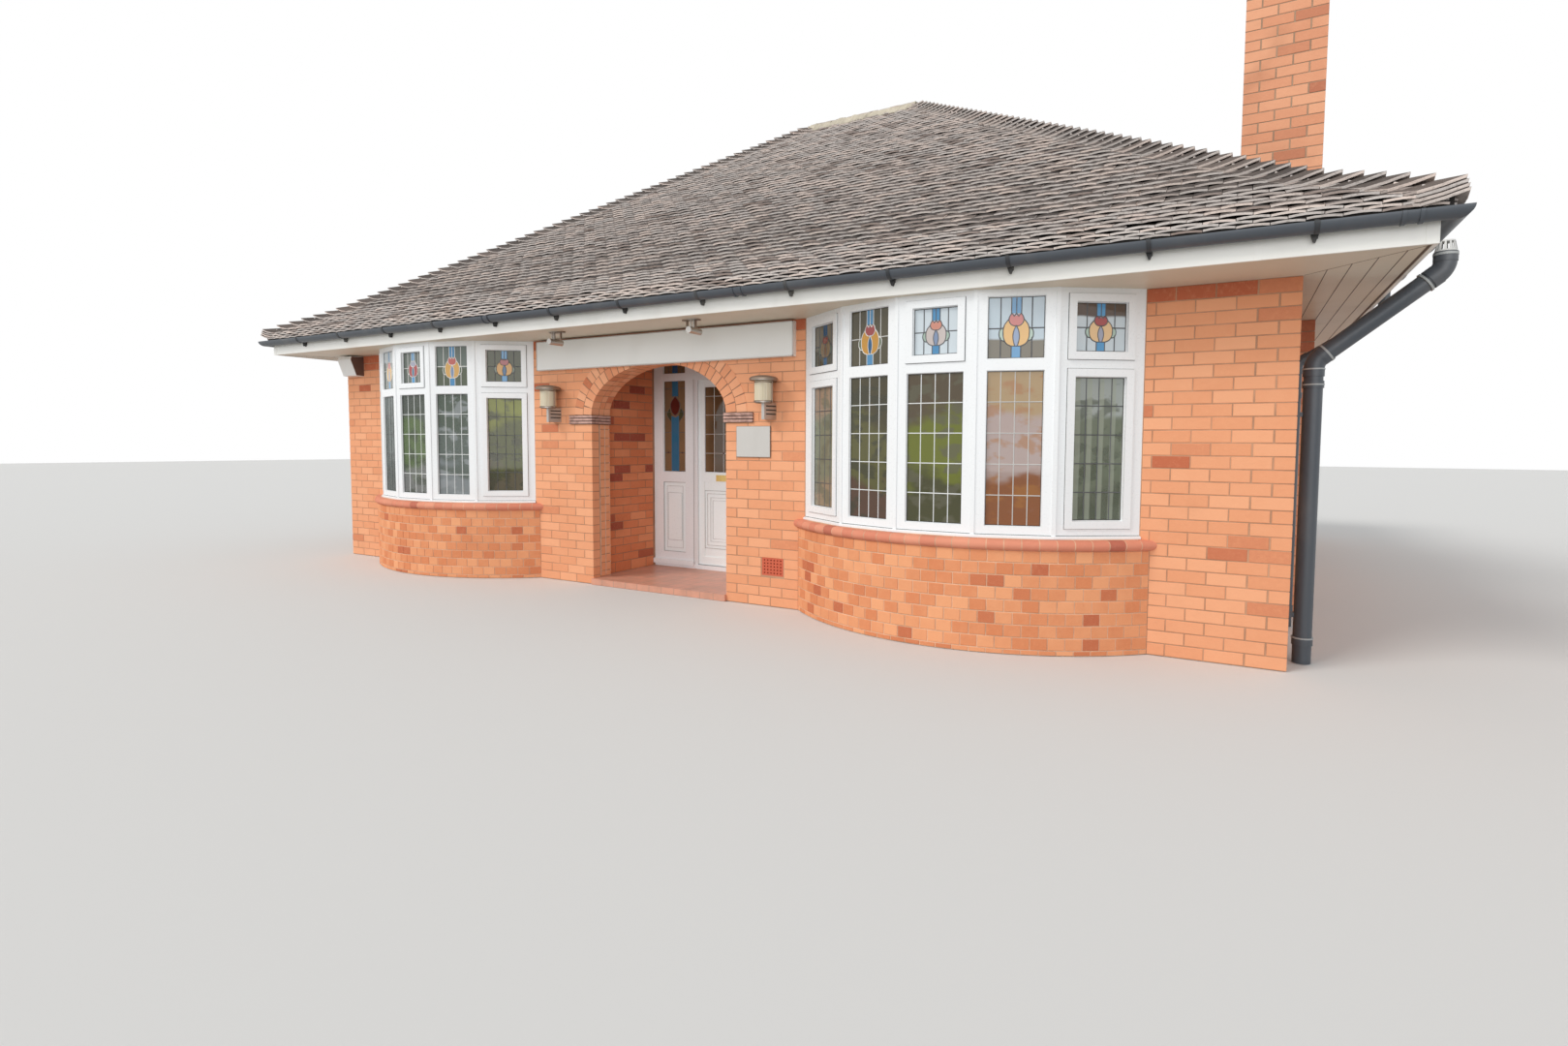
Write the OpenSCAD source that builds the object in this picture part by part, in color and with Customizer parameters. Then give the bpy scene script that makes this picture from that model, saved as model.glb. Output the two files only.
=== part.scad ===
// Detached single-storey brick shop, built as a bungalow, in millimetres.
// The origin is on the ground at the centre of the wall plan. +Y runs from the
// front to the rear, +X to the right seen from the street, +Z up.

/* [Walls] */
// Outside width of the front wall
wall_w = 10150; // [9900:10:10800]
// Outside depth from the front wall face to the rear wall face
wall_d = 8600; // [7400:10:9000]
// Thickness of the outside walls
wall_t = 240; // [200:5:280]
// Height of the room floor above the ground
floor_h = 100; // [80:5:120]
// Height of the underside of the boxed eaves
soffit_z = 2475; // [2440:5:2550]
// Height of the underside of the room ceiling
ceiling_z = 2700; // [2650:5:2780]
// Thickness of the ceiling board
ceiling_t = 30; // [20:1:40]

/* [Front layout] */
// Flat wall from the left corner to the left bay
left_end_w = 719; // [650:1:800]
// Chord of each bay window along the wall face
bay_w = 2630; // [2500:5:2700]
// Brick pier between a bay and the entrance arch
pier_w = 820; // [760:5:880]
// Width of the arched entrance
arch_w = 1645; // [1500:5:1700]

/* [Entrance arch] */
// Height of the springing above the ground
spring_z = 1700; // [1650:5:1720]
// Rise of the arch above the springing
arch_rise = 480; // [440:5:490]
// Depth of the two rings of arch bricks
ring_t = 223; // [200:1:230]
// Height of the impost under the springing
impost_h = 88; // [70:1:100]
// How far the impost reaches along the wall past the opening
impost_w = 292; // [270:1:320]
// How far the impost stands out from the wall face
impost_out = 20; // [10:1:30]

/* [Porch] */
// Distance from the front wall face to the entrance frame
porch_depth = 980; // [900:5:1100]
// How much wider the porch is than the arch on each side
porch_side = 48; // [30:1:60]
// Thickness of the porch side walls
porch_wall_t = 110; // [100:1:120]
// Height of the porch floor
porch_floor_h = 60; // [50:1:70]
// Underside of the porch ceiling
porch_ceiling_z = 2450; // [2420:5:2470]

/* [Entrance frame and door] */
// Depth of the entrance frame
frame_t = 70; // [60:1:80]
// Height of the cill under the frame
cill_h = 45; // [40:1:50]
// Distance from the porch's left wall to the glass
side_jamb_w = 125; // [110:1:135]
// Width of the left side light
side_light_w = 310; // [280:1:330]
// Width of the post between the left side light and the door
door_post_w = 154; // [130:1:170]
// Width of the door opening
door_gap_w = 812; // [780:1:840]
// Top of the door opening
door_top_z = 2116; // [2080:1:2130]
// Width of the right side light
right_light_w = 125; // [100:1:140]
// Thickness of the door leaf
leaf_t = 48; // [44:1:52]
// Gap beside and over the leaf
leaf_gap = 6; // [6:0.5:8]
// Stile width of the door leaf
stile_w = 85; // [80:1:100]
// Width of the letter plate
letter_w = 320; // [260:1:340]

/* [Bay windows] */
// Half of the angle that a bay spans on its circle
bay_half_angle = 42; // [38:0.5:44]
// Angle from the bay's axis to the inner mullions
inner_mullion_a = 8.48; // [8:0.02:9]
// Angle from the bay's axis to the outer mullions
outer_mullion_a = 24.3; // [23:0.1:26]
// How far the curved base stands out from the window line
base_out = 45; // [30:1:60]
// Thickness of the curved base wall
base_t = 225; // [200:1:240]
// Underside of the bay sill
sill_z = 714; // [680:2:740]
// Height of the bay sill at the window
sill_h = 76; // [60:1:90]
// How far the sill's nose stands out from the base wall
sill_nose = 35; // [20:1:50]
// Depth of the window frames
window_t = 70; // [60:1:80]
// Visible width of a frame member beside the glass
member_w = 80; // [70:1:88]
// Height of the bottom rail and the transom
rail_h = 78; // [70:1:85]
// Height of the head of the frame
head_h = 48; // [40:1:60]
// Centre of the transom
transom_z = 1969; // [1940:1:1990]
// Width of an opening sash around its glass
sash_w = 44; // [38:1:50]
// How far a sash stands out from the frame
sash_out = 12; // [8:1:15]
// Thickness of the glass units
glass_t = 24; // [20:1:28]

/* [Side and rear windows] */
// Width of a plain casement window
casement_w = 1500; // [1300:10:1600]
// Underside of the plain windows
casement_z = 1000; // [950:10:1100]
// Height of the plain windows
casement_h = 1250; // [1100:10:1300]
// Thickness of the plain sills
plain_sill_h = 60; // [50:1:75]

/* [Roof] */
// How far the tiles reach past the wall face
tile_out = 600; // [580:5:640]
// Height of the tiles' lower edge, measured on top
eaves_z = 2700; // [2690:5:2740]
// Upright thickness of the tiled roof
roof_t = 70; // [60:1:90]
// Length in plan of the flatter sprocketed eaves
sprocket_run = 550; // [400:10:700]
// Slope of the sprocketed eaves
sprocket_pitch = 28; // [26:0.5:31]
// Slope of the main roof
roof_pitch = 34.8; // [33:0.2:38]
// Upright thickness of the hip and ridge tiles
cap_t = 45; // [35:1:60]
// Width in plan of the hip and ridge tiles
cap_w = 230; // [180:5:260]

/* [Eaves and gutter] */
// How far the fascia's face stands out from the wall face
fascia_out = 557; // [540:1:560]
// Thickness of the fascia boards
fascia_t = 20; // [16:1:24]
// Thickness of the soffit boards
soffit_t = 12; // [9:1:15]
// Outside radius of the gutter
gutter_r = 56; // [50:1:60]
// Thickness of the gutter
gutter_t = 3; // [2:0.5:4]
// Height of the gutter's rim
gutter_z = 2630; // [2610:5:2640]
// Spacing of the gutter brackets
bracket_pitch = 850; // [700:10:1000]
// Width of a gutter bracket
bracket_w = 26; // [20:1:34]

/* [Pipes] */
// Outside radius of the vent pipe
vent_r = 55; // [50:1:58]
// Gap between a pipe and the side wall
pipe_gap = 47; // [40:1:55]
// Distance of the vent pipe behind the front wall face
vent_back = 300; // [250:5:340]
// Height at which the vent pipe turns outwards
vent_bend_z = 1977; // [1900:1:2000]
// Height at which the vent pipe turns upright outside the gutter
vent_top_bend_z = 2500; // [2480:5:2510]
// Height of the vent pipe's open end
vent_top_z = 2600; // [2590:5:2620]
// Gap between the gutter and the vent pipe
vent_clear = 18; // [14:1:25]
// Outside radius of the rainwater pipe
rain_r = 34; // [30:1:38]
// Distance of the rainwater pipe behind the front wall face
rain_back = 1450; // [1300:10:1600]

/* [Chimney] */
// Width of the stack along the front
stack_w = 580; // [500:5:640]
// Depth of the stack
stack_d = 465; // [440:5:600]
// Distance of the stack's front face behind the front wall face
stack_back = 1900; // [1700:10:2200]
// How far the stack stands out from the side wall face
stack_out = 220; // [180:5:260]
// Height of the top of the stack
stack_z = 6000; // [5900:10:6400]
// Height of the clay pot above the stack
pot_h = 420; // [300:10:600]

/* [Signs and fittings] */
// Width of the blank sign board
sign_w = 3080; // [2800:10:3200]
// Height of the blank sign board
sign_h = 293; // [250:1:300]
// Underside of the sign board
sign_z = 2162; // [2150:1:2170]
// Thickness of the sign board
sign_t = 55; // [40:1:60]
// Diameter of a lantern's cap
lantern_cap_d = 240; // [200:5:260]
// Diameter of a lantern's glass
lantern_glass_d = 155; // [140:1:165]

/* [Hidden] */
$fn = 48;
// Facets of a circle with a radius over half a metre
big_fn = 256;
// Overshoot of a cutting shape
eps = 1;
brick = "coral";
white = "white";
clay = "indianred";
slate = "darkslategray";
pane = "lightblue";

// Places along the front, measured from the plan centre
front_y = -wall_d / 2;
left_x = -wall_w / 2;
right_x = wall_w / 2;
left_bay_x = left_x + left_end_w + bay_w / 2;
arch_x = left_x + left_end_w + bay_w + pier_w + arch_w / 2;
right_bay_x = arch_x + arch_w / 2 + pier_w + bay_w / 2;

// The bay's circle: the window line's corners lie on bay_r
bay_r = bay_w / 2 / sin(bay_half_angle);
bay_in = bay_r * cos(bay_half_angle);
base_r = bay_r + base_out;
nose_r = base_r + sill_nose;
bay_angles = [-bay_half_angle, -outer_mullion_a, -inner_mullion_a, inner_mullion_a,
    outer_mullion_a, bay_half_angle];
// The wall returns behind each end of the bay by this much
bay_return = 70;
bay_opening = bay_w - 2 * bay_return;
window_z = sill_z + sill_h;

// Roof levels
eaves_x = right_x + tile_out;
eaves_y = wall_d / 2 + tile_out;
break_z = eaves_z + sprocket_run * tan(sprocket_pitch);
ridge_z = break_z + (eaves_y - sprocket_run) * tan(roof_pitch);
ridge_half = eaves_x - eaves_y;

// Draws its children in the frame of the front wall: y = 0 is the wall face
module at_front() translate([0, front_y, 0]) children();

// A box from its lowest corner to its highest corner
module block(a, b) translate(a) cube(b - a);

// Outline of one roof slope pair, from eaves to eaves, lowered by drop
function roof_line(half, drop) = let (top = break_z + (half - sprocket_run) * tan(roof_pitch))
    [[-half, eaves_z - drop], [-half + sprocket_run, break_z - drop], [0, top - drop],
     [half - sprocket_run, break_z - drop], [half, eaves_z - drop]];

// Everything under the roof surface lowered by drop, down to the level foot
module under_roof(drop, foot) {
    intersection() {
        rotate([90, 0, 90]) translate([0, 0, -eaves_x]) linear_extrude(2 * eaves_x)
            polygon(concat([[-eaves_y, foot]], roof_line(eaves_y, drop), [[eaves_y, foot]]));
        rotate([90, 0, 0]) translate([0, 0, -eaves_y]) linear_extrude(2 * eaves_y)
            polygon(concat([[-eaves_x, foot]], roof_line(eaves_x, drop), [[eaves_x, foot]]));
    }
}

// The plan of one side of the hipped roof, cut along the hips, with a narrow
// gap to its neighbours. Side 0 is the front, 1 right, 2 rear, 3 left.
module side_plan(side, reach_x, reach_y, gap = 1) {
    h = reach_x - reach_y;
    front = side == 0 || side == 2;
    s = side == 0 || side == 3 ? -1 : 1;
    offset_gap = gap * sqrt(2);
    if (front)
        polygon([[-reach_x + offset_gap, s * reach_y], [reach_x - offset_gap, s * reach_y],
            [h - offset_gap, 0], [-h + offset_gap, 0]]);
    else
        polygon([[s * reach_x, -reach_y + offset_gap], [s * reach_x, reach_y - offset_gap],
            [s * (h + offset_gap), 0]]);
}

module side_prism(side, reach_x, reach_y, z0, z1)
    translate([0, 0, z0]) linear_extrude(z1 - z0) side_plan(side, reach_x, reach_y);

// The inner faces of the side walls and of the front and rear walls
inner_x = right_x - wall_t;
inner_y = wall_d / 2 - wall_t;

// Space under one pair of slopes: "y" for the front and rear, "x" for the sides
module under_slopes(pair) {
    half = pair == "y" ? eaves_y : eaves_x;
    rotate(pair == "y" ? [90, 0, 90] : [90, 0, 0]) translate([0, 0, -eaves_x]) linear_extrude(2 * eaves_x)
        polygon(concat([[-half, -eps]], roof_line(half, roof_t), [[half, -eps]]));
}

// A wall between two corners that runs up to the underside of the roof
module wall_to_roof(a, b, pair) intersection() {
    block(a, [b[0], b[1], ridge_z]);
    under_slopes(pair);
}

// Plain windows: [wall, centre along the wall], walls "left", "right", "rear"
plain_windows = [["left", -1900], ["left", 1900], ["right", 1700], ["rear", -2900],
    ["rear", 0], ["rear", 2900]];

// Puts children, modelled in a wall seen from outside with x along it and y = 0 on
// its outside face, into the named wall
module in_wall(wall, along) {
    if (wall == "left") translate([left_x, along, 0]) rotate([0, 0, -90]) children();
    if (wall == "right") translate([right_x, along, 0]) rotate([0, 0, 90]) children();
    if (wall == "rear") translate([along, wall_d / 2, 0]) rotate([0, 0, 180]) children();
}

module plain_window_holes(wall)
    for (w = plain_windows) if (w[0] == wall) in_wall(w[0], w[1])
        block([-casement_w / 2, -eps, casement_z - plain_sill_h],
              [casement_w / 2, wall_t + eps, casement_z + casement_h]);

module floor_slab() color("gray") difference() {
    union() {
        block([left_x + wall_t, front_y + wall_t, 0],
              [right_x - wall_t, wall_d / 2 - wall_t, floor_h]);
        for (x = [left_bay_x, right_bay_x]) at_front() intersection() {
            translate([x, bay_in, 0]) cylinder(floor_h, r = base_r - base_t - 0.5, $fn = big_fn);
            block([x - bay_opening / 2, -bay_r, -eps], [x + bay_opening / 2, wall_t + eps, floor_h + eps]);
        }
    }
    at_front() block([porch_x0 - porch_wall_t, -eps, -eps],
        [porch_x1 + porch_wall_t, porch_depth + frame_t, floor_h + eps]);
    stack_block(eps);
}

// Porch walls stand this far apart
porch_x0 = arch_x - arch_w / 2 - porch_side;
porch_x1 = arch_x + arch_w / 2 + porch_side;
porch_nosing = 30;

module porch_floor() color("firebrick") at_front() union() {
    block([arch_x - arch_w / 2, -porch_nosing, 0], [arch_x + arch_w / 2, wall_t, porch_floor_h]);
    block([porch_x0, wall_t, 0], [porch_x1, porch_depth + frame_t, porch_floor_h]);
}

// Chimney, which stands on the ground and passes the side wall, eaves and roof
stack_x1 = right_x + stack_out;
stack_x0 = stack_x1 - stack_w;
stack_y0 = front_y + stack_back;
stack_y1 = stack_y0 + stack_d;

module stack_block(grow = 0) block([stack_x0 - grow, stack_y0 - grow, -grow],
    [stack_x1 + grow, stack_y1 + grow, stack_z + grow]);

module left_side_wall() color(brick) difference() {
    wall_to_roof([left_x, -inner_y, 0], [-inner_x, inner_y], "x");
    plain_window_holes("left");
}

module right_side_wall() color(brick) difference() {
    wall_to_roof([inner_x, -inner_y, 0], [right_x, inner_y], "x");
    plain_window_holes("right");
    stack_block(0);
}

module rear_wall() color(brick) difference() {
    union() {
        block([left_x, inner_y, 0], [right_x, wall_d / 2, soffit_z]);
        wall_to_roof([-inner_x, inner_y, 0], [inner_x, wall_d / 2], "y");
    }
    plain_window_holes("rear");
}

module front_wall_left_end() color(brick)
    at_front() block([left_x, 0, 0], [left_bay_x - bay_opening / 2, wall_t, soffit_z]);

module front_wall_right_end() color(brick)
    at_front() block([right_bay_x + bay_opening / 2, 0, 0], [right_x, wall_t, soffit_z]);

// Half of an ellipse with its flat side on the springing line
function arch_points(a, b, n = 48) = [for (i = [0:n]) let (t = 180 * i / n) [a * cos(t), b * sin(t)]];

module arch_shape(grow) at_front() translate([arch_x, wall_t + eps, spring_z]) rotate([90, 0, 0])
    linear_extrude(wall_t + 2 * eps) polygon(arch_points(arch_w / 2 + grow, arch_rise + grow));

module impost_block(s, grow = 0) at_front()
    block([arch_x + s * (arch_w / 2 + impost_w / 2) - impost_w / 2, -grow, spring_z - impost_h],
          [arch_x + s * (arch_w / 2 + impost_w / 2) + impost_w / 2, wall_t + grow, spring_z]);

module front_wall_left_pier() color(brick) difference() {
    at_front() block([left_bay_x + bay_opening / 2, 0, 0], [arch_x - arch_w / 2, wall_t, soffit_z]);
    arch_shape(ring_t);
    impost_block(-1, eps);
}

module front_wall_right_pier() color(brick) difference() {
    at_front() block([arch_x + arch_w / 2, 0, 0], [right_bay_x - bay_opening / 2, wall_t, soffit_z]);
    arch_shape(ring_t);
    impost_block(1, eps);
    air_brick_pocket();
}

module wall_over_arch() color(brick) difference() {
    at_front() block([arch_x - arch_w / 2, 0, spring_z], [arch_x + arch_w / 2, wall_t, soffit_z]);
    arch_shape(ring_t);
}

module front_wall_head() color(brick) wall_to_roof([-inner_x, front_y, soffit_z], [inner_x, -inner_y], "y");

module arch_ring() color("rosybrown") difference() {
    at_front() translate([arch_x, wall_t, spring_z]) rotate([90, 0, 0]) linear_extrude(wall_t)
        polygon(arch_points(arch_w / 2 + ring_t, arch_rise + ring_t));
    arch_shape(0);
}

// Three tiles with recessed joints
impost_joint = 5;
impost_tile = (impost_h - 2 * impost_joint) / 3;

module arch_imposts() color("rosybrown") for (s = [-1, 1]) union() {
    impost_block(s);
    // Each tile stands out from the wall face and into the opening
    reach = impost_w + impost_out;
    for (i = [0:2]) at_front() translate([0, 0, spring_z - impost_h + i * (impost_tile + impost_joint)])
        block([arch_x + s * (arch_w / 2 - impost_out + reach / 2) - reach / 2, -impost_out, 0],
              [arch_x + s * (arch_w / 2 - impost_out + reach / 2) + reach / 2, wall_t, impost_tile]);
}

module porch_left_wall() color(brick) at_front()
    block([porch_x0 - porch_wall_t, wall_t, 0], [porch_x0, porch_depth + frame_t, ceiling_z]);

module porch_right_wall() color(brick) at_front()
    block([porch_x1, wall_t, 0], [porch_x1 + porch_wall_t, porch_depth + frame_t, ceiling_z]);

porch_ceiling_t = 20;

// A board under the porch roof and the bulkhead over the entrance frame
module porch_ceiling() color(white) at_front() union() {
    block([porch_x0, wall_t, porch_ceiling_z], [porch_x1, porch_depth + frame_t, porch_ceiling_z + porch_ceiling_t]);
    block([porch_x0, porch_depth, porch_ceiling_z], [porch_x1, porch_depth + frame_t, ceiling_z]);
}

// Entrance frame: lights and panels as [x0, x1, z0, z1]
light_x0 = porch_x0 + side_jamb_w;
light_x1 = light_x0 + side_light_w;
door_x0 = light_x1 + door_post_w;
door_x1 = door_x0 + door_gap_w;
// The post right of the door takes this part of what the right side light leaves
right_post_share = 0.6;
right_light_x0 = door_x1 + right_post_share * (porch_x1 - door_x1 - right_light_w);
right_light_x1 = right_light_x0 + right_light_w;
frame_foot = porch_floor_h + cill_h;
// Bars over the door and at the top of the frame
fan_bar_h = 70;
fan_head_h = 50;
fan_z0 = door_top_z + fan_bar_h;
fan_z1 = porch_ceiling_z - fan_head_h;
side_glass_z = 1112;
side_glass_top = door_top_z - 5;
panel_z0 = 226;
panel_z1 = 1000;
glazed_lights = [[light_x0, light_x1, side_glass_z, side_glass_top],
    [right_light_x0, right_light_x1, side_glass_z, side_glass_top],
    [light_x0, light_x1, fan_z0, fan_z1], [door_x0, door_x1, fan_z0, fan_z1],
    [right_light_x0, right_light_x1, fan_z0, fan_z1]];
panel_lights = [[light_x0, light_x1, panel_z0, panel_z1],
    [right_light_x0, right_light_x1, panel_z0, panel_z1]];
stop_w = 12;
// The cills under the side lights stand out, stop short of the door and cover the frame's foot
side_cill_out = 30;
side_cill_gap = 30;
side_cill_foot = 30;
side_cill_lap = 35;
// The leaf closes flush with the inside of the frame, a gap away from the stop
stop_t = frame_t - leaf_t - leaf_gap;

module light_block(l, y0, y1, grow = 0)
    block([l[0] - grow, y0, l[2] - grow], [l[1] + grow, y1, l[3] + grow]);

module entrance_frame() color(white) at_front() difference() {
    union() {
        block([porch_x0, porch_depth, porch_floor_h], [porch_x1, porch_depth + frame_t, porch_ceiling_z]);
        // Projecting cills under the side lights
        for (x = [[porch_x0, door_x0 - side_cill_gap], [door_x1 + side_cill_gap, porch_x1]])
            block([x[0], porch_depth - side_cill_out, porch_floor_h + side_cill_foot],
                  [x[1], porch_depth + eps, frame_foot + side_cill_lap]);
    }
    for (l = glazed_lights) light_block(l, porch_depth - eps, porch_depth + frame_t + eps);
    for (l = panel_lights) light_block(l, porch_depth - eps, porch_depth + frame_t + eps);
    // Door opening with an outside stop
    block([door_x0 + stop_w, porch_depth - eps, frame_foot],
          [door_x1 - stop_w, porch_depth + frame_t + eps, door_top_z - stop_w]);
    block([door_x0, porch_depth + stop_t, frame_foot], [door_x1, porch_depth + frame_t + eps, door_top_z]);
}

frame_glass_back = 23;

module entrance_glass() color(pane) at_front()
    for (l = glazed_lights) light_block(l, porch_depth + frame_glass_back, porch_depth + frame_glass_back + glass_t);

// Panels with a raised field, which keeps these margins at its foot and head
panel_back = 20;
panel_t = 30;
field_out = 8;
field_foot = 130;
field_head = 120;

module entrance_panels() color(white) at_front() for (l = panel_lights) union() {
    light_block(l, porch_depth + panel_back, porch_depth + panel_back + panel_t);
    inset = (l[1] - l[0]) / 5;
    block([l[0] + inset, porch_depth + panel_back - field_out, l[2] + field_foot],
          [l[1] - inset, porch_depth + panel_back + eps, l[3] - field_head]);
}

// The leaf opens inwards on the left, about an axis at its inside face
leaf_x0 = door_x0 + leaf_gap;
// The gap on the lock side is wider by this much
lock_gap = 2;
leaf_x1 = door_x1 - leaf_gap - lock_gap;
leaf_y1 = porch_depth + frame_t;
leaf_y0 = leaf_y1 - leaf_t;
leaf_z0 = frame_foot + leaf_gap;
leaf_z1 = door_top_z - leaf_gap;
leaf_mid = (leaf_x0 + leaf_x1) / 2;
// Feet and heads of the leaf's glass and of its lower panel
leaf_glass_z = [1115, 2032];
leaf_panel_z = [200, 1013];
leaf_light = [leaf_x0 + stile_w, leaf_x1 - stile_w, leaf_glass_z[0], leaf_glass_z[1]];
leaf_panel = [leaf_x0 + stile_w, leaf_x1 - stile_w, leaf_panel_z[0], leaf_panel_z[1]];
leaf_panel_cut = 8;
// Raised fields of the lower panel: [margin, how far behind the leaf's face]
leaf_fields = [[95, 4], [135, 0]];
leaf_glass_back = 12;
hinge_r = 8;
hinge_play = 0.3;
hinge_x = door_x0;
hinge_y = leaf_y1 + hinge_r + hinge_play;
hinge_zs = [400, 1100, 1850];
hinge_h = 100;
// Slit between the two knuckles of a hinge
hinge_slit = 1;
// Hinge flaps: length along the face and thickness
flap_w = 45;
flap_t = 4;

module front_door() color(white) at_front() union() {
    difference() {
        block([leaf_x0, leaf_y0, leaf_z0], [leaf_x1, leaf_y1, leaf_z1]);
        light_block(leaf_light, leaf_y0 - eps, leaf_y1 + eps);
        light_block(leaf_panel, leaf_y0 - eps, leaf_y0 + leaf_panel_cut);
    }
    for (f = leaf_fields) light_block(leaf_panel, leaf_y0 + f[1], leaf_y0 + leaf_panel_cut + eps, -f[0]);
    for (z = hinge_zs) {
        translate([hinge_x, hinge_y, z + hinge_h / 2]) cylinder(hinge_h / 2, r = hinge_r, $fn = 24);
        block([leaf_x0, leaf_y1 - eps, z + hinge_h / 2], [hinge_x + flap_w, leaf_y1 + flap_t, z + hinge_h]);
    }
}

module door_glass() color(pane) at_front() 
    light_block(leaf_light, leaf_y0 + leaf_glass_back, leaf_y0 + leaf_glass_back + glass_t);

module door_hinges() color(white) at_front() for (z = hinge_zs) union() {
    translate([hinge_x, hinge_y, z]) cylinder(hinge_h / 2 - hinge_slit, r = hinge_r, $fn = 24);
    block([hinge_x - flap_w, leaf_y1, z], [hinge_x - hinge_r / 2, leaf_y1 + flap_t, z + hinge_h / 2 - hinge_slit]);
}

letter_z = 1022;
letter_h = 67;
letter_t = 5;
// Margins of the flap beside and over it, and the groove round it
flap_margin = [20, 12];
flap_groove = [3, 2];

// A block of the letter plate that is smaller than it by margins
module letter_block(margin, y0, y1)
    block([leaf_mid - letter_w / 2 + margin[0], y0, letter_z + margin[1]],
          [leaf_mid + letter_w / 2 - margin[0], y1, letter_z + letter_h - margin[1]]);

module letter_plate() color("goldenrod") at_front() difference() {
    letter_block([0, 0], leaf_y0 - letter_t, leaf_y0);
    difference() {
        letter_block(flap_margin, leaf_y0 - letter_t - eps, leaf_y0 - letter_t + flap_groove[1]);
        letter_block(flap_margin + [flap_groove[0], flap_groove[0]], leaf_y0 - letter_t - 2 * eps, leaf_y0);
    }
}

handle_z = 1064;
// Plate width, thickness and height, then radius and length of the spindle and the lever
handle_plate = [30, 8, 220];
spindle = [9, 45];
lever = [8, 115];
lever_out = 38;

// Lever on a plate, outside and inside
module door_handles() color("goldenrod") at_front() for (side = [0, 1])
    translate([leaf_x1 - stile_w / 2, side == 0 ? leaf_y0 : leaf_y1, handle_z])
        mirror([0, side, 0]) union() {
            block([-handle_plate[0] / 2, -handle_plate[1], -handle_plate[2] / 2],
                  [handle_plate[0] / 2, 0, handle_plate[2] / 2]);
            rotate([90, 0, 0]) cylinder(spindle[1], r = spindle[0], $fn = 24);
            translate([0, -lever_out, 0]) rotate([0, -90, 0]) cylinder(lever[1], r = lever[0], $fn = 24);
        }

// Curved base of a bay: everything in front of the wall face
module bay_sector(r0, r1, h) intersection() {
    translate([0, bay_in, 0]) difference() {
        cylinder(h, r = r1, $fn = big_fn);
        translate([0, 0, -eps]) cylinder(h + 2 * eps, r = r0, $fn = big_fn);
    }
    block([-bay_r, -bay_r, -eps], [bay_r, 0, h + eps]);
}

module bay_base(x) color(brick) at_front() translate([x, 0, 0])
    bay_sector(base_r - base_t, base_r, sill_z);

// Bedding gap between the sill's end and the wall face
sill_gap = 0.3;

// Sill of bullnosed bricks, sloped from the window to a round nose
module bay_sill(x) color(clay) at_front() translate([x, bay_in, sill_z]) intersection() {
    rotate_extrude($fn = big_fn) union() {
        polygon([[base_r - base_t, 0], [nose_r - sill_h / 2, 0], [nose_r - sill_h / 2, sill_h * 0.92],
            [bay_r - 5, sill_h], [base_r - base_t, sill_h]]);
        translate([nose_r - sill_h * 0.46, sill_h * 0.46]) circle(r = sill_h * 0.46, $fn = 32);
    }
    block([-bay_r, -bay_r * 2, -eps], [bay_r, -bay_in - sill_gap, sill_h + eps]);
}

function on_circle(r, a) = [r * sin(a), -r * cos(a)];

// Plan of the five-sided window line between two radii
module bay_ring(r0, r1) polygon(concat([for (a = bay_angles) on_circle(r1, a)],
    [for (i = [0:5]) on_circle(r0, bay_angles[5 - i])]));

function facet_mid(i) = (bay_angles[i] + bay_angles[i + 1]) / 2;
function facet_half(i) = bay_r * sin((bay_angles[i + 1] - bay_angles[i]) / 2);
function facet_face(i) = bay_r * cos((bay_angles[i + 1] - bay_angles[i]) / 2);

// Puts children on facet i: x along it from its middle, y = 0 on its outside face
module on_facet(i) rotate([0, 0, facet_mid(i)]) translate([0, -facet_face(i), 0]) children();

// Opening sashes as [facet, upper light or not], the rest is fixed glass
sashes = [[0, true], [0, false], [2, true], [4, true], [4, false]];
function is_sash(i, up) = len([for (s = sashes) if (s[0] == i && s[1] == up) s]) > 0;
function glass_z0(i, up) = (up ? transom_z + rail_h / 2 : window_z + rail_h) + (is_sash(i, up) ? sash_w : 0);
function glass_z1(i, up) = (up ? soffit_z - head_h : transom_z - rail_h / 2) - (is_sash(i, up) ? sash_w : 0);
function glass_half(i, up) = facet_half(i) - member_w - (is_sash(i, up) ? sash_w : 0);

module sash(i, up) on_facet(i) {
    h = glass_half(i, up);
    z0 = glass_z0(i, up);
    z1 = glass_z1(i, up);
    difference() {
        block([-h - sash_w - sash_lap, -sash_out, z0 - sash_w - sash_lap],
              [h + sash_w + sash_lap, sash_in, z1 + sash_w + sash_lap]);
        block([-h, -sash_out - eps, z0], [h, window_t, z1]);
    }
}
// Sashes lap over the frame by this much, and reach this far into it
sash_lap = 8;
sash_in = 52;

// Plan of the uprights beside the glass of each facet
module upright_plan() intersection() {
    bay_ring(bay_r - window_t, bay_r);
    for (i = [0:4]) rotate(facet_mid(i)) for (s = [-1, 1])
        translate([s * (facet_half(i) - member_w / 2), -facet_face(i) + window_t / 2])
            square([member_w, 3 * window_t], center = true);
}

// Everything of the bay in front of the wall face
module bay_front(x) at_front() translate([x, 0, 0]) intersection() {
    translate([0, bay_in, 0]) children();
    block([-bay_r, -bay_r, 0], [bay_r, 0, soffit_z]);
}

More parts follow.
